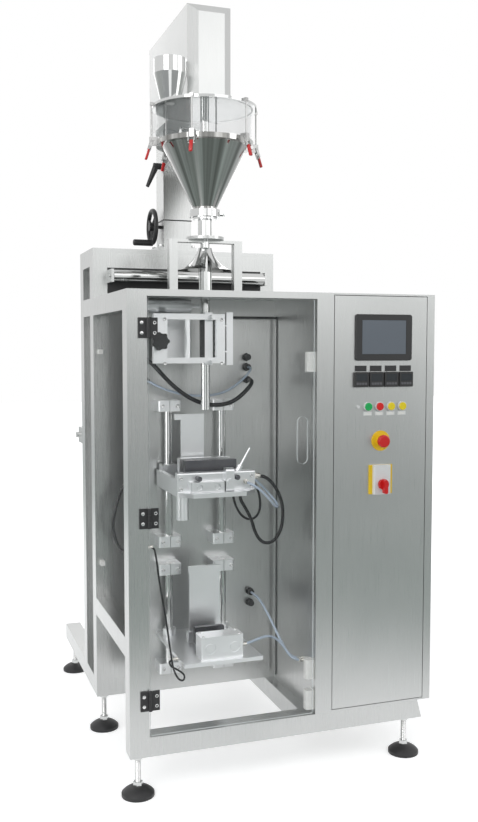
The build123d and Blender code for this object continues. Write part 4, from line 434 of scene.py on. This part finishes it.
cone_painted_reflections, nodes, links, bsdf = material("steel_cone_painted_reflections")
place = nodes.new("ShaderNodeTexCoord")
centred = nodes.new("ShaderNodeVectorMath")
centred.operation = "SUBTRACT"
centred.inputs[1].default_value = (hopper_x, hopper_y, 0)
links.new(place.outputs["Object"], centred.inputs[0])
flat = nodes.new("ShaderNodeVectorMath")
flat.operation = "MULTIPLY"
flat.inputs[1].default_value = (1, 1, 0)
links.new(centred.outputs[0], flat.inputs[0])
around_axis = nodes.new("ShaderNodeVectorMath")
around_axis.operation = "NORMALIZE"
links.new(flat.outputs[0], around_axis.inputs[0])
# Painted reflections: noise round the cone's axis sets dark and bright bands in the base colour, in place of
# the surroundings mirrored by the polish.
painted_reflection_bands = nodes.new("ShaderNodeTexNoise")
painted_reflection_bands.inputs["Scale"].default_value = 2.6
painted_reflection_bands.inputs["Detail"].default_value = 3
painted_reflection_bands.inputs["Roughness"].default_value = 0.6
links.new(around_axis.outputs[0], painted_reflection_bands.inputs["Vector"])
tone = nodes.new("ShaderNodeValToRGB")
tone.color_ramp.elements[0].position = 0.38
tone.color_ramp.elements[0].color = (0.20, 0.20, 0.19, 1)
tone.color_ramp.elements[1].position = 0.66
tone.color_ramp.elements[1].color = (0.66, 0.66, 0.65, 1)
links.new(painted_reflection_bands.outputs["Fac"], tone.inputs["Fac"])
links.new(tone.outputs["Color"], bsdf.inputs["Base Color"])
bsdf.inputs["Metallic"].default_value = 1
bsdf.inputs["Roughness"].default_value = 0.12
dress(cone_painted_reflections, "hopper_cone")

zinc = brushed_steel("steel_zinc_plated", (300, 300, 300), (0.40, 0.40, 0.40), (0.48, 0.48, 0.47),
                     (0.28, 0.40))
dress(zinc, "latch_bases")

# Machined aluminium.
# Shaft blocks, carriage, tray and sealing bars are milled aluminium, light and satin. The front
# jaw and the gripper's pad are anodised dark, and the drives in the head have grey cast cases.
milled = brushed_steel("aluminium_milled", (90, 900, 900), (0.78, 0.79, 0.80), (0.86, 0.87, 0.88),
                       (0.28, 0.42))
dress(milled, "shaft_supports", "jaw_carriage", "lower_tray", "sealer_frame", "sealer_bar")
anodised = brushed_steel("aluminium_anodised", (90, 900, 900), (0.10, 0.10, 0.11), (0.16, 0.16, 0.17),
                         (0.34, 0.46))
dress(anodised, "front_jaw", "gripper_pad")
cast_grey = brushed_steel("drive_castings", (40, 40, 40), (0.16, 0.17, 0.18), (0.22, 0.23, 0.24),
                          (0.5, 0.6))
dress(cast_grey, "drive_motors")

# Moulded plastics.
# Feet, hinges, knobs and glands are black moulded plastic with a fine grained skin. Catches,
# controls and handles are the same in their own colours.


def moulded(name, colour, roughness, grain):
    """Moulded plastic with a fine skin and slight shade changes."""
    mat, nodes, links, bsdf = material(name)
    place = nodes.new("ShaderNodeTexCoord")
    skin = nodes.new("ShaderNodeTexNoise")
    skin.inputs["Scale"].default_value = grain
    skin.inputs["Detail"].default_value = 2
    links.new(place.outputs["Object"], skin.inputs["Vector"])
    tone = nodes.new("ShaderNodeValToRGB")
    tone.color_ramp.elements[0].color = (*[c * 0.82 for c in colour], 1)
    tone.color_ramp.elements[1].color = (*[min(1, c * 1.15) for c in colour], 1)
    links.new(skin.outputs["Fac"], tone.inputs["Fac"])
    links.new(tone.outputs["Color"], bsdf.inputs["Base Color"])
    bump = nodes.new("ShaderNodeBump")
    bump.inputs["Strength"].default_value = 0.12
    bump.inputs["Distance"].default_value = 0.0004
    links.new(skin.outputs["Fac"], bump.inputs["Height"])
    links.new(bump.outputs[0], bsdf.inputs["Normal"])
    bsdf.inputs["Roughness"].default_value = roughness
    return mat


black = moulded("plastic_black", (0.018, 0.018, 0.019), 0.45, 900)
dress(black, "foot_pads", "fixed_hinge_leaves", "moving_hinge_leaves", "handwheel", "clamp_lever",
      "star_knob", "cable_glands", "temperature_controllers", "touchscreen")
dress(moulded("plastic_white", (0.80, 0.80, 0.78), 0.5, 500), "clips_and_catches")
dress(moulded("plastic_grey", (0.50, 0.51, 0.52), 0.45, 500), "control_gear")
dress(moulded("plastic_pale", (0.72, 0.73, 0.73), 0.35, 500), "button_bezels")
dress(moulded("plastic_yellow", (0.86, 0.58, 0.02), 0.35, 500), "yellow_plates")
red = moulded("plastic_red", (0.62, 0.012, 0.012), 0.3, 500)
dress(red, "estop_head", "isolator_knob", *[f"latch_lever_{i}" for i in range(1, 7)])
dress(moulded("lens_green", (0.01, 0.42, 0.10), 0.2, 300), "push_button_green")
dress(moulded("lens_red", (0.72, 0.015, 0.015), 0.2, 300), "push_button_red")
dress(moulded("lens_yellow", (0.84, 0.66, 0.02), 0.2, 300), "push_button_yellow_left",
      "push_button_yellow_right")

# Clear acrylic.
# The side window is a flat sheet held by small clips, and the hopper's cylinder is a tube
# between two rings. Both are clear, with polished faces and faint wiping marks.


def clear(name, colour, alpha):
    """Clear acrylic with faint wiping marks in its gloss."""
    mat, nodes, links, bsdf = material(name)
    place = nodes.new("ShaderNodeTexCoord")
    wipe = nodes.new("ShaderNodeTexNoise")
    wipe.inputs["Scale"].default_value = 6
    wipe.inputs["Detail"].default_value = 3
    links.new(place.outputs["Object"], wipe.inputs["Vector"])
    rough = nodes.new("ShaderNodeMapRange")
    rough.inputs["To Min"].default_value = 0.02
    rough.inputs["To Max"].default_value = 0.09
    links.new(wipe.outputs["Fac"], rough.inputs["Value"])
    links.new(rough.outputs[0], bsdf.inputs["Roughness"])
    bsdf.inputs["Base Color"].default_value = (*colour, 1)
    bsdf.inputs["Alpha"].default_value = alpha
    return mat


dress(clear("acrylic_window", (0.72, 0.76, 0.76), 0.03), "side_window")
dress(clear("acrylic_cylinder", (0.60, 0.63, 0.64), 0.09), "hopper_cylinder")

# Clear front door.
# One sheet of clear acrylic on three hinges, with a milled finger slot. Its sawn edges scatter
# light and show as bright lines round the sheet and round the slot.


def box_piece(name, low, high):
    """A cube stretched between two corners, with the change applied."""
    bpy.ops.object.select_all(action="DESELECT")
    middle = [(a + b) / 2 for a, b in zip(low, high)]
    bpy.ops.mesh.primitive_cube_add(size=1, location=middle)
    piece = bpy.context.object
    piece.name = name
    piece.scale = [b - a for a, b in zip(low, high)]
    bpy.ops.object.transform_apply()
    return piece


def bevel(piece, width, segments, angle=0.6):
    """Round the sharp edges of a piece."""
    modifier = piece.modifiers.new("edge", "BEVEL")
    modifier.width = width
    modifier.segments = segments
    modifier.limit_method = "ANGLE"
    modifier.angle_limit = angle
    bpy.context.view_layer.objects.active = piece
    bpy.ops.object.modifier_apply(modifier=modifier.name)


def cut(piece, tool):
    """Subtract a tool from a piece and remove the tool."""
    modifier = piece.modifiers.new("cut", "BOOLEAN")
    modifier.object = tool
    modifier.solver = "EXACT"
    bpy.context.view_layer.objects.active = piece
    bpy.ops.object.modifier_apply(modifier=modifier.name)
    bpy.data.objects.remove(tool)


def edge_rod(name, low, high, radius):
    """A stadium-shaped bar along y between two corners, rounded at its ends."""
    bar = box_piece(name, low, high)
    bpy.ops.object.mode_set(mode="EDIT")
    bpy.ops.mesh.select_mode(type="EDGE")
    bpy.ops.mesh.select_all(action="DESELECT")
    bpy.ops.object.mode_set(mode="OBJECT")
    for edge in bar.data.edges:
        a, b = [bar.data.vertices[i].co for i in edge.vertices]
        edge.select = abs(a.y - b.y) > 1e-6
    bpy.ops.object.mode_set(mode="EDIT")
    bpy.ops.mesh.bevel(offset=radius, segments=12)
    bpy.ops.object.mode_set(mode="OBJECT")
    return bar


slot_width = 0.034
slot_height = 0.147
slot_inset = 0.039
slot_z = 1.0624
tool_spare = 0.01
low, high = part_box("acrylic_door")
door = box_piece("clear_door", low, high)
middle = high[0] - slot_inset
tool = edge_rod("slot_tool", (middle - slot_width / 2, low[1] - tool_spare, slot_z - slot_height / 2),
                (middle + slot_width / 2, high[1] + tool_spare, slot_z + slot_height / 2),
                slot_width / 2 - 0.0002)
cut(door, tool)
bevel(door, 0.0008, 2)
edge_mat, nodes, links, bsdf = material("acrylic_edge")
place = nodes.new("ShaderNodeTexCoord")
saw = nodes.new("ShaderNodeTexNoise")
saw.inputs["Scale"].default_value = 220
links.new(place.outputs["Object"], saw.inputs["Vector"])
tone = nodes.new("ShaderNodeValToRGB")
tone.color_ramp.elements[0].color = (0.70, 0.76, 0.76, 1)
tone.color_ramp.elements[1].color = (0.92, 0.95, 0.95, 1)
links.new(saw.outputs["Fac"], tone.inputs["Fac"])
links.new(tone.outputs["Color"], bsdf.inputs["Base Color"])
bsdf.inputs["Roughness"].default_value = 0.35
bsdf.inputs["Alpha"].default_value = 0.75
door.data.materials.append(clear("acrylic_door_sheet", (0.34, 0.37, 0.37), 0.03))
door.data.materials.append(edge_mat)
for face in door.data.polygons:
    face.material_index = 0 if abs(face.normal.y) > 0.9 else 1
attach(door, "front_door")
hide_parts("acrylic_door")

# Hinge screws.
# Each black hinge leaf is held by two bright steel pan-head screws with a round socket. One
# leaf is screwed to the post, the other to the door.
screw_steel = brushed_steel("steel_screw", (300, 300, 300), (0.60, 0.60, 0.60), (0.72, 0.72, 0.72),
                            (0.18, 0.3))


def socket_screw(name, radius, height):
    """A screw head at the origin, facing up, with a rounded rim and a sunk socket."""
    bpy.ops.object.select_all(action="DESELECT")
    bpy.ops.mesh.primitive_cylinder_add(vertices=24, radius=radius, depth=height)
    head = bpy.context.object
    head.name = name
    for face in head.data.polygons:
        face.select = face.normal.z > 0.9
    bpy.ops.object.mode_set(mode="EDIT")
    bpy.ops.mesh.select_mode(type="FACE")
    bpy.ops.mesh.inset(thickness=radius * 0.12)
    bpy.ops.mesh.inset(thickness=radius * 0.36)
    bpy.ops.mesh.extrude_region_move(TRANSFORM_OT_translate={"value": (0, 0, -height * 0.55)})
    bpy.ops.object.mode_set(mode="OBJECT")
    bevel(head, radius * 0.1, 2, 0.9)
    bpy.ops.object.shade_smooth_by_angle(angle=0.6)
    head.data.materials.append(screw_steel)
    return head


def copies(pattern, spots):
    """Copies of a pattern with their own meshes, each at a place and a turn; the pattern goes."""
    made = []
    for place, turn in spots:
        piece = pattern.copy()
        piece.data = pattern.data.copy()
        bpy.context.collection.objects.link(piece)
        piece.location = place
        piece.rotation_euler = turn
        bpy.ops.object.select_all(action="DESELECT")
        piece.select_set(True)
        bpy.context.view_layer.objects.active = piece
        bpy.ops.object.transform_apply()
        made.append(piece)
    bpy.data.objects.remove(pattern)
    return made


def joined(name, pieces, body):
    """Join the copies of one kind into a piece that rides a body."""
    bpy.ops.object.select_all(action="DESELECT")
    for piece in pieces:
        piece.select_set(True)
    bpy.context.view_layer.objects.active = pieces[0]
    if len(pieces) > 1:
        bpy.ops.object.join()
    whole = bpy.context.object
    whole.name = name
    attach(whole, body)


forward = (math.pi / 2, 0, 0)
hinge_levels = (0.298, 0.84761, 1.407)
hinge_x = -0.43575
screw_off = 0.01933
screw_rise = 0.015
screw_y = -0.603 - 0.0012
for side, body in ((-1, "machine_frame"), (1, "front_door")):
    spots = [((hinge_x + side * screw_off, screw_y, level + rise), forward)
             for level in hinge_levels for rise in (-screw_rise, screw_rise)]
    heads = copies(socket_screw("hinge_screw", 0.0053, 0.0028), spots)
    joined("hinge_screws_door" if side > 0 else "hinge_screws_post", heads, body)

# Screws of the shaft blocks.
# Two steel socket screws hold every shaft block to the machine plate and close its slit on the
# shaft. Their heads stand on the block's front face, left and right of the shaft.
block_low, block_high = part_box("shaft_supports")
block_half = 0.038
shaft_x = (block_low[0] + block_half, block_high[0] - block_half)
block_levels = (0.263105, 0.597068, 0.689975, 1.140979)
block_spread, block_rise = 0.025, 0.018
spots = [((x + side * block_spread, block_low[1] - 0.0025, level + block_rise), forward)
         for x in shaft_x for level in block_levels for side in (-1, 1)]
joined("block_screws", copies(socket_screw("block_screw", 0.006, 0.006), spots), "machine_frame")

# Screws of the column's flange.
# The column's foot is a thick steel flange. Four socket screws, one near each corner, hold it
# on the portal.
upward = (0, 0, 0)
base_low, base_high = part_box("column_base")
flange_inset, flange_screw_rise = 0.012, 0.0165
spots = [((x, y, base_low[2] + flange_screw_rise), upward)
         for x in (base_low[0] + flange_inset, base_high[0] - flange_inset)
         for y in (base_low[1] + flange_inset, base_high[1] - flange_inset)]
joined("flange_screws", copies(socket_screw("flange_screw", 0.0075, 0.009), spots), "machine_frame")

# Screws of the carriage, the sealing frame and the gripper.
# Steel socket screws hold the carriage's guide block at its ends, the sealing frame's bars at
# their corners, and the gripper's block from above.
jaw_low, jaw_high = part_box("jaw_carriage")
guide_inset = 0.012
guide_face = -0.510
guide_levels = (0.915, 0.948)
spots = [((x, guide_face - 0.002, z), forward)
         for x in (jaw_low[0] + guide_inset, jaw_high[0] - guide_inset) for z in guide_levels]
joined("guide_screws", copies(socket_screw("guide_screw", 0.0055, 0.005), spots), "jaw_carriage")
seal_face = -0.458
seal_x, seal_levels = (-0.3480, -0.1640), (1.301, 1.437)
spots = [((x, seal_face - 0.002, z), forward) for x in seal_x for z in seal_levels]
joined("seal_screws", copies(socket_screw("seal_screw", 0.0055, 0.005), spots), "machine_frame")
gripper_x, gripper_y, gripper_top = (-0.2565, -0.1385), (-0.558, -0.513), 0.4605
spots = [((x, y, gripper_top), upward) for x in gripper_x for y in gripper_y]
joined("gripper_screws", copies(socket_screw("gripper_screw", 0.005, 0.0045), spots), "machine_frame")

# Insulation of the sealing bar.
# Two ribbed boards of black moulded plastic are fixed behind the sealing frame and shield it
# from the hot bar, which slides between them.
seal_low, seal_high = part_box("sealer_bar")
board_back, board_front = -0.4270, -0.4380
board_bottom, board_top = 1.3030, 1.4530
board_gap = 0.002
rib_bottom, rib_top, rib_pitch, rib_count = 1.3200, 1.3260, 0.0190, 7
rib_inset, rib_depth = 0.001, 0.003
boards = []
for left, right in ((-0.2268, seal_low[0] - board_gap), (seal_high[0] + board_gap, -0.1545)):
    boards.append(box_piece("seal_board", (left, board_front, board_bottom), (right, board_back, board_top)))
    boards += [box_piece("seal_rib", (left + rib_inset, board_front - rib_depth, rib_bottom + k * rib_pitch),
                         (right - rib_inset, board_front + rib_inset, rib_top + k * rib_pitch))
               for k in range(rib_count)]
for piece in boards:
    bevel(piece, 0.0006, 2)
    piece.data.materials.append(black)
joined("seal_insulation", boards, "machine_frame")

# Seal of the machine plate.
# A strip of black rubber is pressed into the joint between the machine plate, the cabinet's
# wall and the deck, so that no powder gets behind the plate.
strip_face = plate_face - 0.0016
strip_left, strip_right = 0.0988, 0.1022
strip_top = 1.4560
seal_upright = box_piece("plate_seal_upright", (strip_left, strip_face, 0.2000),
                         (strip_right, plate_face, strip_top))
seal_across = box_piece("plate_seal_across", (-0.1000, strip_face, strip_top - 0.0080),
                        (strip_left, plate_face, strip_top))
for piece in (seal_upright, seal_across):
    bevel(piece, 0.0006, 2)
    piece.data.materials.append(black)
joined("plate_seal", [seal_upright, seal_across], "machine_frame")

# Mouth of the portal.
# The film passes under the portal's beam. A thin black sheet with a thicker hem hangs there and
# fills the mouth above the deck: painted shade, a dark sheet where the opening lies in shadow.
mouth_low, mouth_high = (-0.4475, -0.0700, 1.5220), (0.1125, -0.0685, 1.6240)
hem_depth, hem_height = 0.003, 0.012
# Painted shade: the black sheet stands in for the shadow inside the portal's mouth.
shade_sheet = box_piece("mouth_shade_sheet", mouth_low, mouth_high)
shade_hem = box_piece("mouth_shade_hem", (mouth_low[0], mouth_low[1] - hem_depth, mouth_low[2]),
                (mouth_high[0], mouth_high[1], mouth_low[2] + hem_height))
for piece in (shade_sheet, shade_hem):
    bevel(piece, 0.0006, 2)
    piece.data.materials.append(black)
joined("portal_mouth_painted_shade", [shade_sheet, shade_hem], "machine_frame")

# Wiper of the column.
# A square ring of black rubber is pushed over the lower end of the sliding sleeve and wipes the
# column when the head is lifted.
sleeve_low, sleeve_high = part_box("column_sleeve")
proud, grip_in = 0.0012, 0.0004
below, above = 0.0005, 0.0035
wiper = box_piece("column_wiper", (sleeve_low[0] - proud, sleeve_low[1] - proud, sleeve_low[2] - below),
                  (sleeve_high[0] + proud, sleeve_high[1] + proud, sleeve_low[2] + above))
tool = box_piece("wiper_tool",
                 (sleeve_low[0] + grip_in, sleeve_low[1] + grip_in, sleeve_low[2] - tool_spare),
                 (sleeve_high[0] - grip_in, sleeve_high[1] - grip_in, sleeve_low[2] + tool_spare))
cut(wiper, tool)
bevel(wiper, 0.0005, 2)
wiper.data.materials.append(black)
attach(wiper, "auger_head")

# Latch levers.
# Each draw latch has a zinc-plated yoke on its pin and a tapered red plastic grip pushed over
# the yoke's end. The lever hangs outwards below the flange ring.
latch_radius, latch_z = 0.173, 1.985
latch_lean = math.radians(-18)
yoke_half = 0.0042
cheek_y, cheek_half = 0.0091, 0.0013
pin_radius, pin_length = 0.0026, 0.0225
grip_end = -0.058
cheeks = [box_piece("latch_cheek", (-yoke_half, side * cheek_y - cheek_half, -0.026),
                    (yoke_half, side * cheek_y + cheek_half, 0.005)) for side in (-1, 1)]
web = box_piece("latch_web", (-yoke_half, -0.0104, -0.030), (-0.0018, 0.0104, -0.020))
bpy.ops.object.select_all(action="DESELECT")
bpy.ops.mesh.primitive_cylinder_add(vertices=20, radius=pin_radius, depth=pin_length, rotation=forward)
pin = bpy.context.object
bpy.ops.object.transform_apply()
for piece in (*cheeks, web, pin):
    bevel(piece, 0.0005, 2)
    piece.data.materials.append(zinc)
grip = box_piece("latch_grip", (-0.0050, -0.0078, grip_end), (0.0050, 0.0078, -0.021))
for face in grip.data.polygons:
    face.select = face.normal.z < -0.9
bpy.ops.object.mode_set(mode="EDIT")
bpy.ops.mesh.select_mode(type="FACE")
bpy.ops.transform.resize(value=(0.75, 0.72, 1), center_override=(0, 0, grip_end))
bpy.ops.object.mode_set(mode="OBJECT")
bevel(grip, 0.0022, 4)
grip.data.materials.append(red)
bpy.ops.object.select_all(action="DESELECT")
for piece in (*cheeks, web, pin, grip):
    piece.select_set(True)
bpy.context.view_layer.objects.active = grip
bpy.ops.object.join()
bpy.ops.object.shade_smooth_by_angle(angle=0.6)
spots = []
for i in range(6):
    low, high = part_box(f"latch_lever_{i + 1}")
    angle = math.atan2((low[1] + high[1]) / 2 - hopper_y, (low[0] + high[0]) / 2 - hopper_x)
    place = (hopper_x + latch_radius * math.cos(angle), hopper_y + latch_radius * math.sin(angle), latch_z)
    spots.append((place, (0, latch_lean, angle)))
for i, lever in enumerate(copies(grip, spots)):
    lever.name = f"latch_handle_{i + 1}"
    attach(lever, f"latch_{i + 1}")
    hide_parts(f"latch_lever_{i + 1}")

# Threads of the feet.
# Each levelling foot turns on a threaded steel stud. The thread's ridges show between the two
# nuts. The places are in millimetres from the machine's left front corner.
origin_x, origin_y = 497.5, 598.0
thread_bottom, thread_pitch, thread_turns = 0.0445, 0.0024, 28
foot_places = ((30, 30), (935, 30), (30, 560), (935, 440), (30, 1190), (630, 1190))
bpy.ops.object.select_all(action="DESELECT")
bpy.ops.mesh.primitive_torus_add(major_radius=0.0078, minor_radius=0.0009,
                                 major_segments=20, minor_segments=6)
thread = bpy.context.object
thread.name = "stud_thread"
ridges = thread.modifiers.new("ridges", "ARRAY")
ridges.use_relative_offset = False
ridges.use_constant_offset = True
ridges.constant_offset_displace = (0, 0, thread_pitch)
ridges.count = thread_turns
bpy.ops.object.modifier_apply(modifier=ridges.name)
bpy.ops.object.shade_smooth_by_angle(angle=1.0)
thread.data.materials.append(screw_steel)
spots = [(((x - origin_x) / 1000, (y - origin_y) / 1000, thread_bottom), upward) for x, y in foot_places]
joined("stud_threads", copies(thread, spots), "machine_frame")

# Hose fittings.
# Push-in fittings of nickelled brass: a hexagon nut screwed into the piece and a round
# collar that grips the hose.
fitting_metal = brushed_steel("nickel_fitting", (400, 400, 400), (0.55, 0.54, 0.50), (0.66, 0.65, 0.61),
                              (0.18, 0.28))
nut_height, collar_height, lip_height = 0.007, 0.011, 0.0025
fitting_edge = 0.0006


def push_fitting(name, hose_radius):
    """A fitting at the origin, facing up."""
    bpy.ops.object.select_all(action="DESELECT")
    bpy.ops.mesh.primitive_cylinder_add(vertices=6, radius=hose_radius * 2.1, depth=nut_height,
                                        location=(0, 0, nut_height / 2))
    nut = bpy.context.object
    nut.name = name
    bevel(nut, fitting_edge, 2)
    bpy.ops.mesh.primitive_cylinder_add(vertices=28, radius=hose_radius * 1.6, depth=collar_height,
                                        location=(0, 0, nut_height + collar_height / 2))
    collar = bpy.context.object
    for face in collar.data.polygons:
        face.select = face.normal.z > 0.9
    bpy.ops.object.mode_set(mode="EDIT")
    bpy.ops.mesh.select_mode(type="FACE")
    bpy.ops.mesh.inset(thickness=hose_radius * 0.2)
    bpy.ops.mesh.extrude_region_move(TRANSFORM_OT_translate={"value": (0, 0, lip_height)})
    bpy.ops.object.mode_set(mode="OBJECT")
    bevel(collar, fitting_edge, 2, 0.9)
    bpy.ops.object.select_all(action="DESELECT")
    collar.select_set(True)
    nut.select_set(True)
    bpy.context.view_layer.objects.active = nut
    bpy.ops.object.transform_apply()
    bpy.ops.object.join()
    bpy.ops.object.shade_smooth_by_angle(angle=0.6)
    nut.data.materials.append(fitting_metal)
    return nut


to_right = (0, math.pi / 2, 0)
to_left = (0, -math.pi / 2, 0)
downward = (math.pi, 0, 0)
rearward = (-math.pi / 2, 0, 0)
gripper_end = [((-0.1285, -0.5355, 0.4181), to_right)]
joined("air_fittings", copies(push_fitting("air_fitting", 0.004), gripper_end), "machine_frame")
wall_ends = [((0.1025, -0.4940, 0.3341), to_left), ((0.1025, -0.5100, 0.3341), to_left)]
joined("wall_fittings", copies(push_fitting("wall_fitting", 0.0036), wall_ends), "machine_frame")
loop_ends = [((-0.3975, -0.2280, 0.9050), rearward), ((-0.3975, -0.2280, 0.6430), rearward)]
joined("loop_fittings", copies(push_fitting("loop_fitting", 0.0055), loop_ends), "machine_frame")
lead_ends = [((-0.4375, -0.5680, 0.7561), to_right), ((-0.3245, -0.5060, 0.3841), to_left)]
joined("lead_fittings", copies(push_fitting("lead_fitting", 0.003), lead_ends), "machine_frame")
large_ends = [((-0.0705, -0.4980, 0.9449), to_right), ((-0.0825, -0.3980, 0.8909), downward)]
small_ends = [((-0.0925, -0.3580, 0.8909), downward), ((-0.0705, -0.3580, 0.9249), to_right),
              ((-0.1025, -0.5100, 0.9299), forward), ((-0.0705, -0.4080, 0.9259), to_right)]
carriage_ends = copies(push_fitting("large_fitting", 0.0055), large_ends)
carriage_ends += copies(push_fitting("small_fitting", 0.004), small_ends)
joined("carriage_fittings", carriage_ends, "jaw_carriage")

# Operator screen.
# A sheet of grey glass is bonded into the black moulded bezel. The screen is switched off, and
# a painted sheen runs across the glass: its colour is lighter towards one side.
low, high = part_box("touchscreen")
bezel_side, bezel_bottom, bezel_top = 0.0225, 0.0205, 0.0185
border = 0.004
glass_back = low[1] + 0.0012
glass = box_piece("screen_glass", (low[0] + bezel_side, glass_back - 0.0008, low[2] + bezel_bottom),
                  (high[0] - bezel_side, glass_back + 0.0002, high[2] - bezel_top))
for face in glass.data.polygons:
    face.select = face.normal.y < -0.9
bpy.ops.object.mode_set(mode="EDIT")
bpy.ops.mesh.select_mode(type="FACE")
bpy.ops.mesh.inset(thickness=border)
bpy.ops.object.mode_set(mode="OBJECT")
bevel(glass, 0.0003, 2)
glass_mat, nodes, links, bsdf = material("screen_glass")
place = nodes.new("ShaderNodeTexCoord")
# Painted sheen: a turned gradient makes the glass's colour lighter towards one side.
painted_sheen = nodes.new("ShaderNodeTexGradient")
turned = nodes.new("ShaderNodeMapping")
turned.inputs["Location"].default_value = (-1.2, 0, 0)
turned.inputs["Rotation"].default_value = (0, -0.9, 0)
turned.inputs["Scale"].default_value = (2.2, 2.2, 2.2)
links.new(place.outputs["Object"], turned.inputs["Vector"])
links.new(turned.outputs[0], painted_sheen.inputs["Vector"])
tone = nodes.new("ShaderNodeValToRGB")
tone.color_ramp.elements[0].color = (0.13, 0.15, 0.18, 1)
tone.color_ramp.elements[1].color = (0.22, 0.25, 0.29, 1)
links.new(painted_sheen.outputs["Fac"], tone.inputs["Fac"])
links.new(tone.outputs["Color"], bsdf.inputs["Base Color"])
bsdf.inputs["Roughness"].default_value = 0.12
bsdf.inputs["Coat Weight"].default_value = 0.6
glass.data.materials.append(glass_mat)
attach(glass, "cabinet_door")

# Temperature controllers.
# Four square controllers are clamped in the door. Each black plastic case has a smoked window
# let into its front, with four soft rubber keys below.
low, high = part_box("temperature_controllers")
gauge_pitch = 0.053
gauge_side = 0.048
gauge_count = 4
first_key, key_pitch, key_count = 0.0185, 0.0096, 4
window_mat = moulded("window_smoked", (0.03, 0.035, 0.04), 0.15, 200)
key_mat = moulded("keys_grey", (0.10, 0.10, 0.11), 0.5, 600)
spots = [((low[0] + gauge_side / 2 + gauge_pitch * i, low[1] + 0.0007, low[2] + gauge_side / 2), upward)
         for i in range(gauge_count)]
pane = box_piece("gauge_window", (-0.019, -0.0005, -0.0046), (0.019, 0.0005, 0.0178))
bevel(pane, 0.0003, 2)
pane.data.materials.append(window_mat)
joined("gauge_windows", copies(pane, spots), "cabinet_door")
key = box_piece("gauge_key", (0, -0.0015, -0.0165), (0.0078, -0.0003, -0.0095))
bevel(key, 0.0004, 2)
key.data.materials.append(key_mat)
key_spots = [((place[0] - first_key + k * key_pitch, place[1], place[2]), upward)
             for place, turn in spots for k in range(key_count)]
joined("gauge_keys", copies(key, key_spots), "cabinet_door")

# Gear in the cabinet.
# The two drives and the power supply on the mounting plate have covers of black plastic clipped
# to their fronts, and each terminal row carries a line of steel screws.
cover_inset, cover_depth = 0.007, 0.004
cover_drop, cover_margin = 0.085, 0.010
covers = []
for left, right, face, top in ((0.1525, 0.2430, -0.2964, 1.1730), (0.2530, 0.3435, -0.2964, 1.1730),
                               (0.3535, 0.4641, -0.2259, 1.1163)):
    cover = box_piece("gear_cover", (left + cover_inset, face - cover_depth, top - cover_drop),
                      (right - cover_inset, face, top - cover_margin))
    bevel(cover, 0.0015, 3)
    cover.data.materials.append(black)
    covers.append(cover)
joined("gear_covers", covers, "machine_frame")
row_left, row_pitch, row_face = 0.1730, 0.0250, -0.2065
row_levels = (0.4580, 0.6736, 0.8552)
spots = [((row_left + k * row_pitch, row_face, z), forward) for k in range(12) for z in row_levels]
joined("terminal_screws", copies(socket_screw("row_screw", 0.0055, 0.003), spots), "machine_frame")

# Contacts behind the cabinet door.
# Black plastic contact blocks with two terminal screws sit behind the buttons, the emergency stop
# and the isolator, on strips that are screwed to the door's inner face and leave room for the
# plungers.
button_names = ("push_button_green", "push_button_red", "push_button_yellow_left",
                "push_button_yellow_right")
inner_face = -0.5960
strip_depth = 0.013
strip_half_width, strip_half_height = 0.020, 0.022
screw_half_spread = 0.010
pressed = [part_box(name) for name in button_names]
middles = [((low[0] + high[0]) / 2, (low[2] + high[2]) / 2) for low, high in pressed]
stop_low, stop_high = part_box("estop_head")
stop_middle = ((stop_low[0] + stop_high[0]) / 2, (stop_low[2] + stop_high[2]) / 2)
knob_low, knob_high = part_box("isolator_knob")
knob_middle = ((knob_low[0] + knob_high[0]) / 2, (knob_low[2] + knob_high[2]) / 2)
strips = []
for group, pocket in ((middles, 0.0160), ([stop_middle], 0.0135), ([knob_middle], 0.0080)):
    across = [x for x, z in group]
    level = group[0][1]
    strip = box_piece("contact_strip",
                      (min(across) - strip_half_width, inner_face, level - strip_half_height),
                      (max(across) + strip_half_width, inner_face + strip_depth, level + strip_half_height))
    for x in across:
        bpy.ops.object.select_all(action="DESELECT")
        bpy.ops.mesh.primitive_cylinder_add(vertices=32, radius=pocket, depth=0.06,
                                            location=(x, inner_face, level), rotation=forward)
        cut(strip, bpy.context.object)
    bevel(strip, 0.0008, 2)
    strip.data.materials.append(black)
    strips.append(strip)
block = box_piece("contact_block", (-0.013, 0, -0.019), (0.013, 0.030, 0.019))
bevel(block, 0.0012, 2)
block.data.materials.append(black)
spots = [((0, 0.0305, z), rearward) for z in (-screw_half_spread, screw_half_spread)]
terminals = copies(socket_screw("terminal_screw", 0.0032, 0.003), spots)
bpy.ops.object.select_all(action="DESELECT")
for piece in (block, *terminals):
    piece.select_set(True)
bpy.context.view_layer.objects.active = block
bpy.ops.object.join()
spots = [((x, inner_face + strip_depth, z), upward) for x, z in (*middles, stop_middle, knob_middle)]
joined("door_contacts", strips + copies(block, spots), "cabinet_door")

# Button labels.
# A blank card of white plastic is clipped to the plate under every push button.
card_mat = moulded("card_white", (0.82, 0.82, 0.80), 0.6, 300)
card_half = (0.0115, 0.0004, 0.0045)
card_y, card_drop = -0.5996, 0.0225
spots = []
for name in button_names:
    low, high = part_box(name)
    spots.append((((low[0] + high[0]) / 2, card_y, (low[2] + high[2]) / 2 - card_drop), upward))
card = box_piece("button_card", [-half for half in card_half], card_half)
bevel(card, 0.0006, 2)
card.data.materials.append(card_mat)
joined("button_cards", copies(card, spots), "cabinet_door")
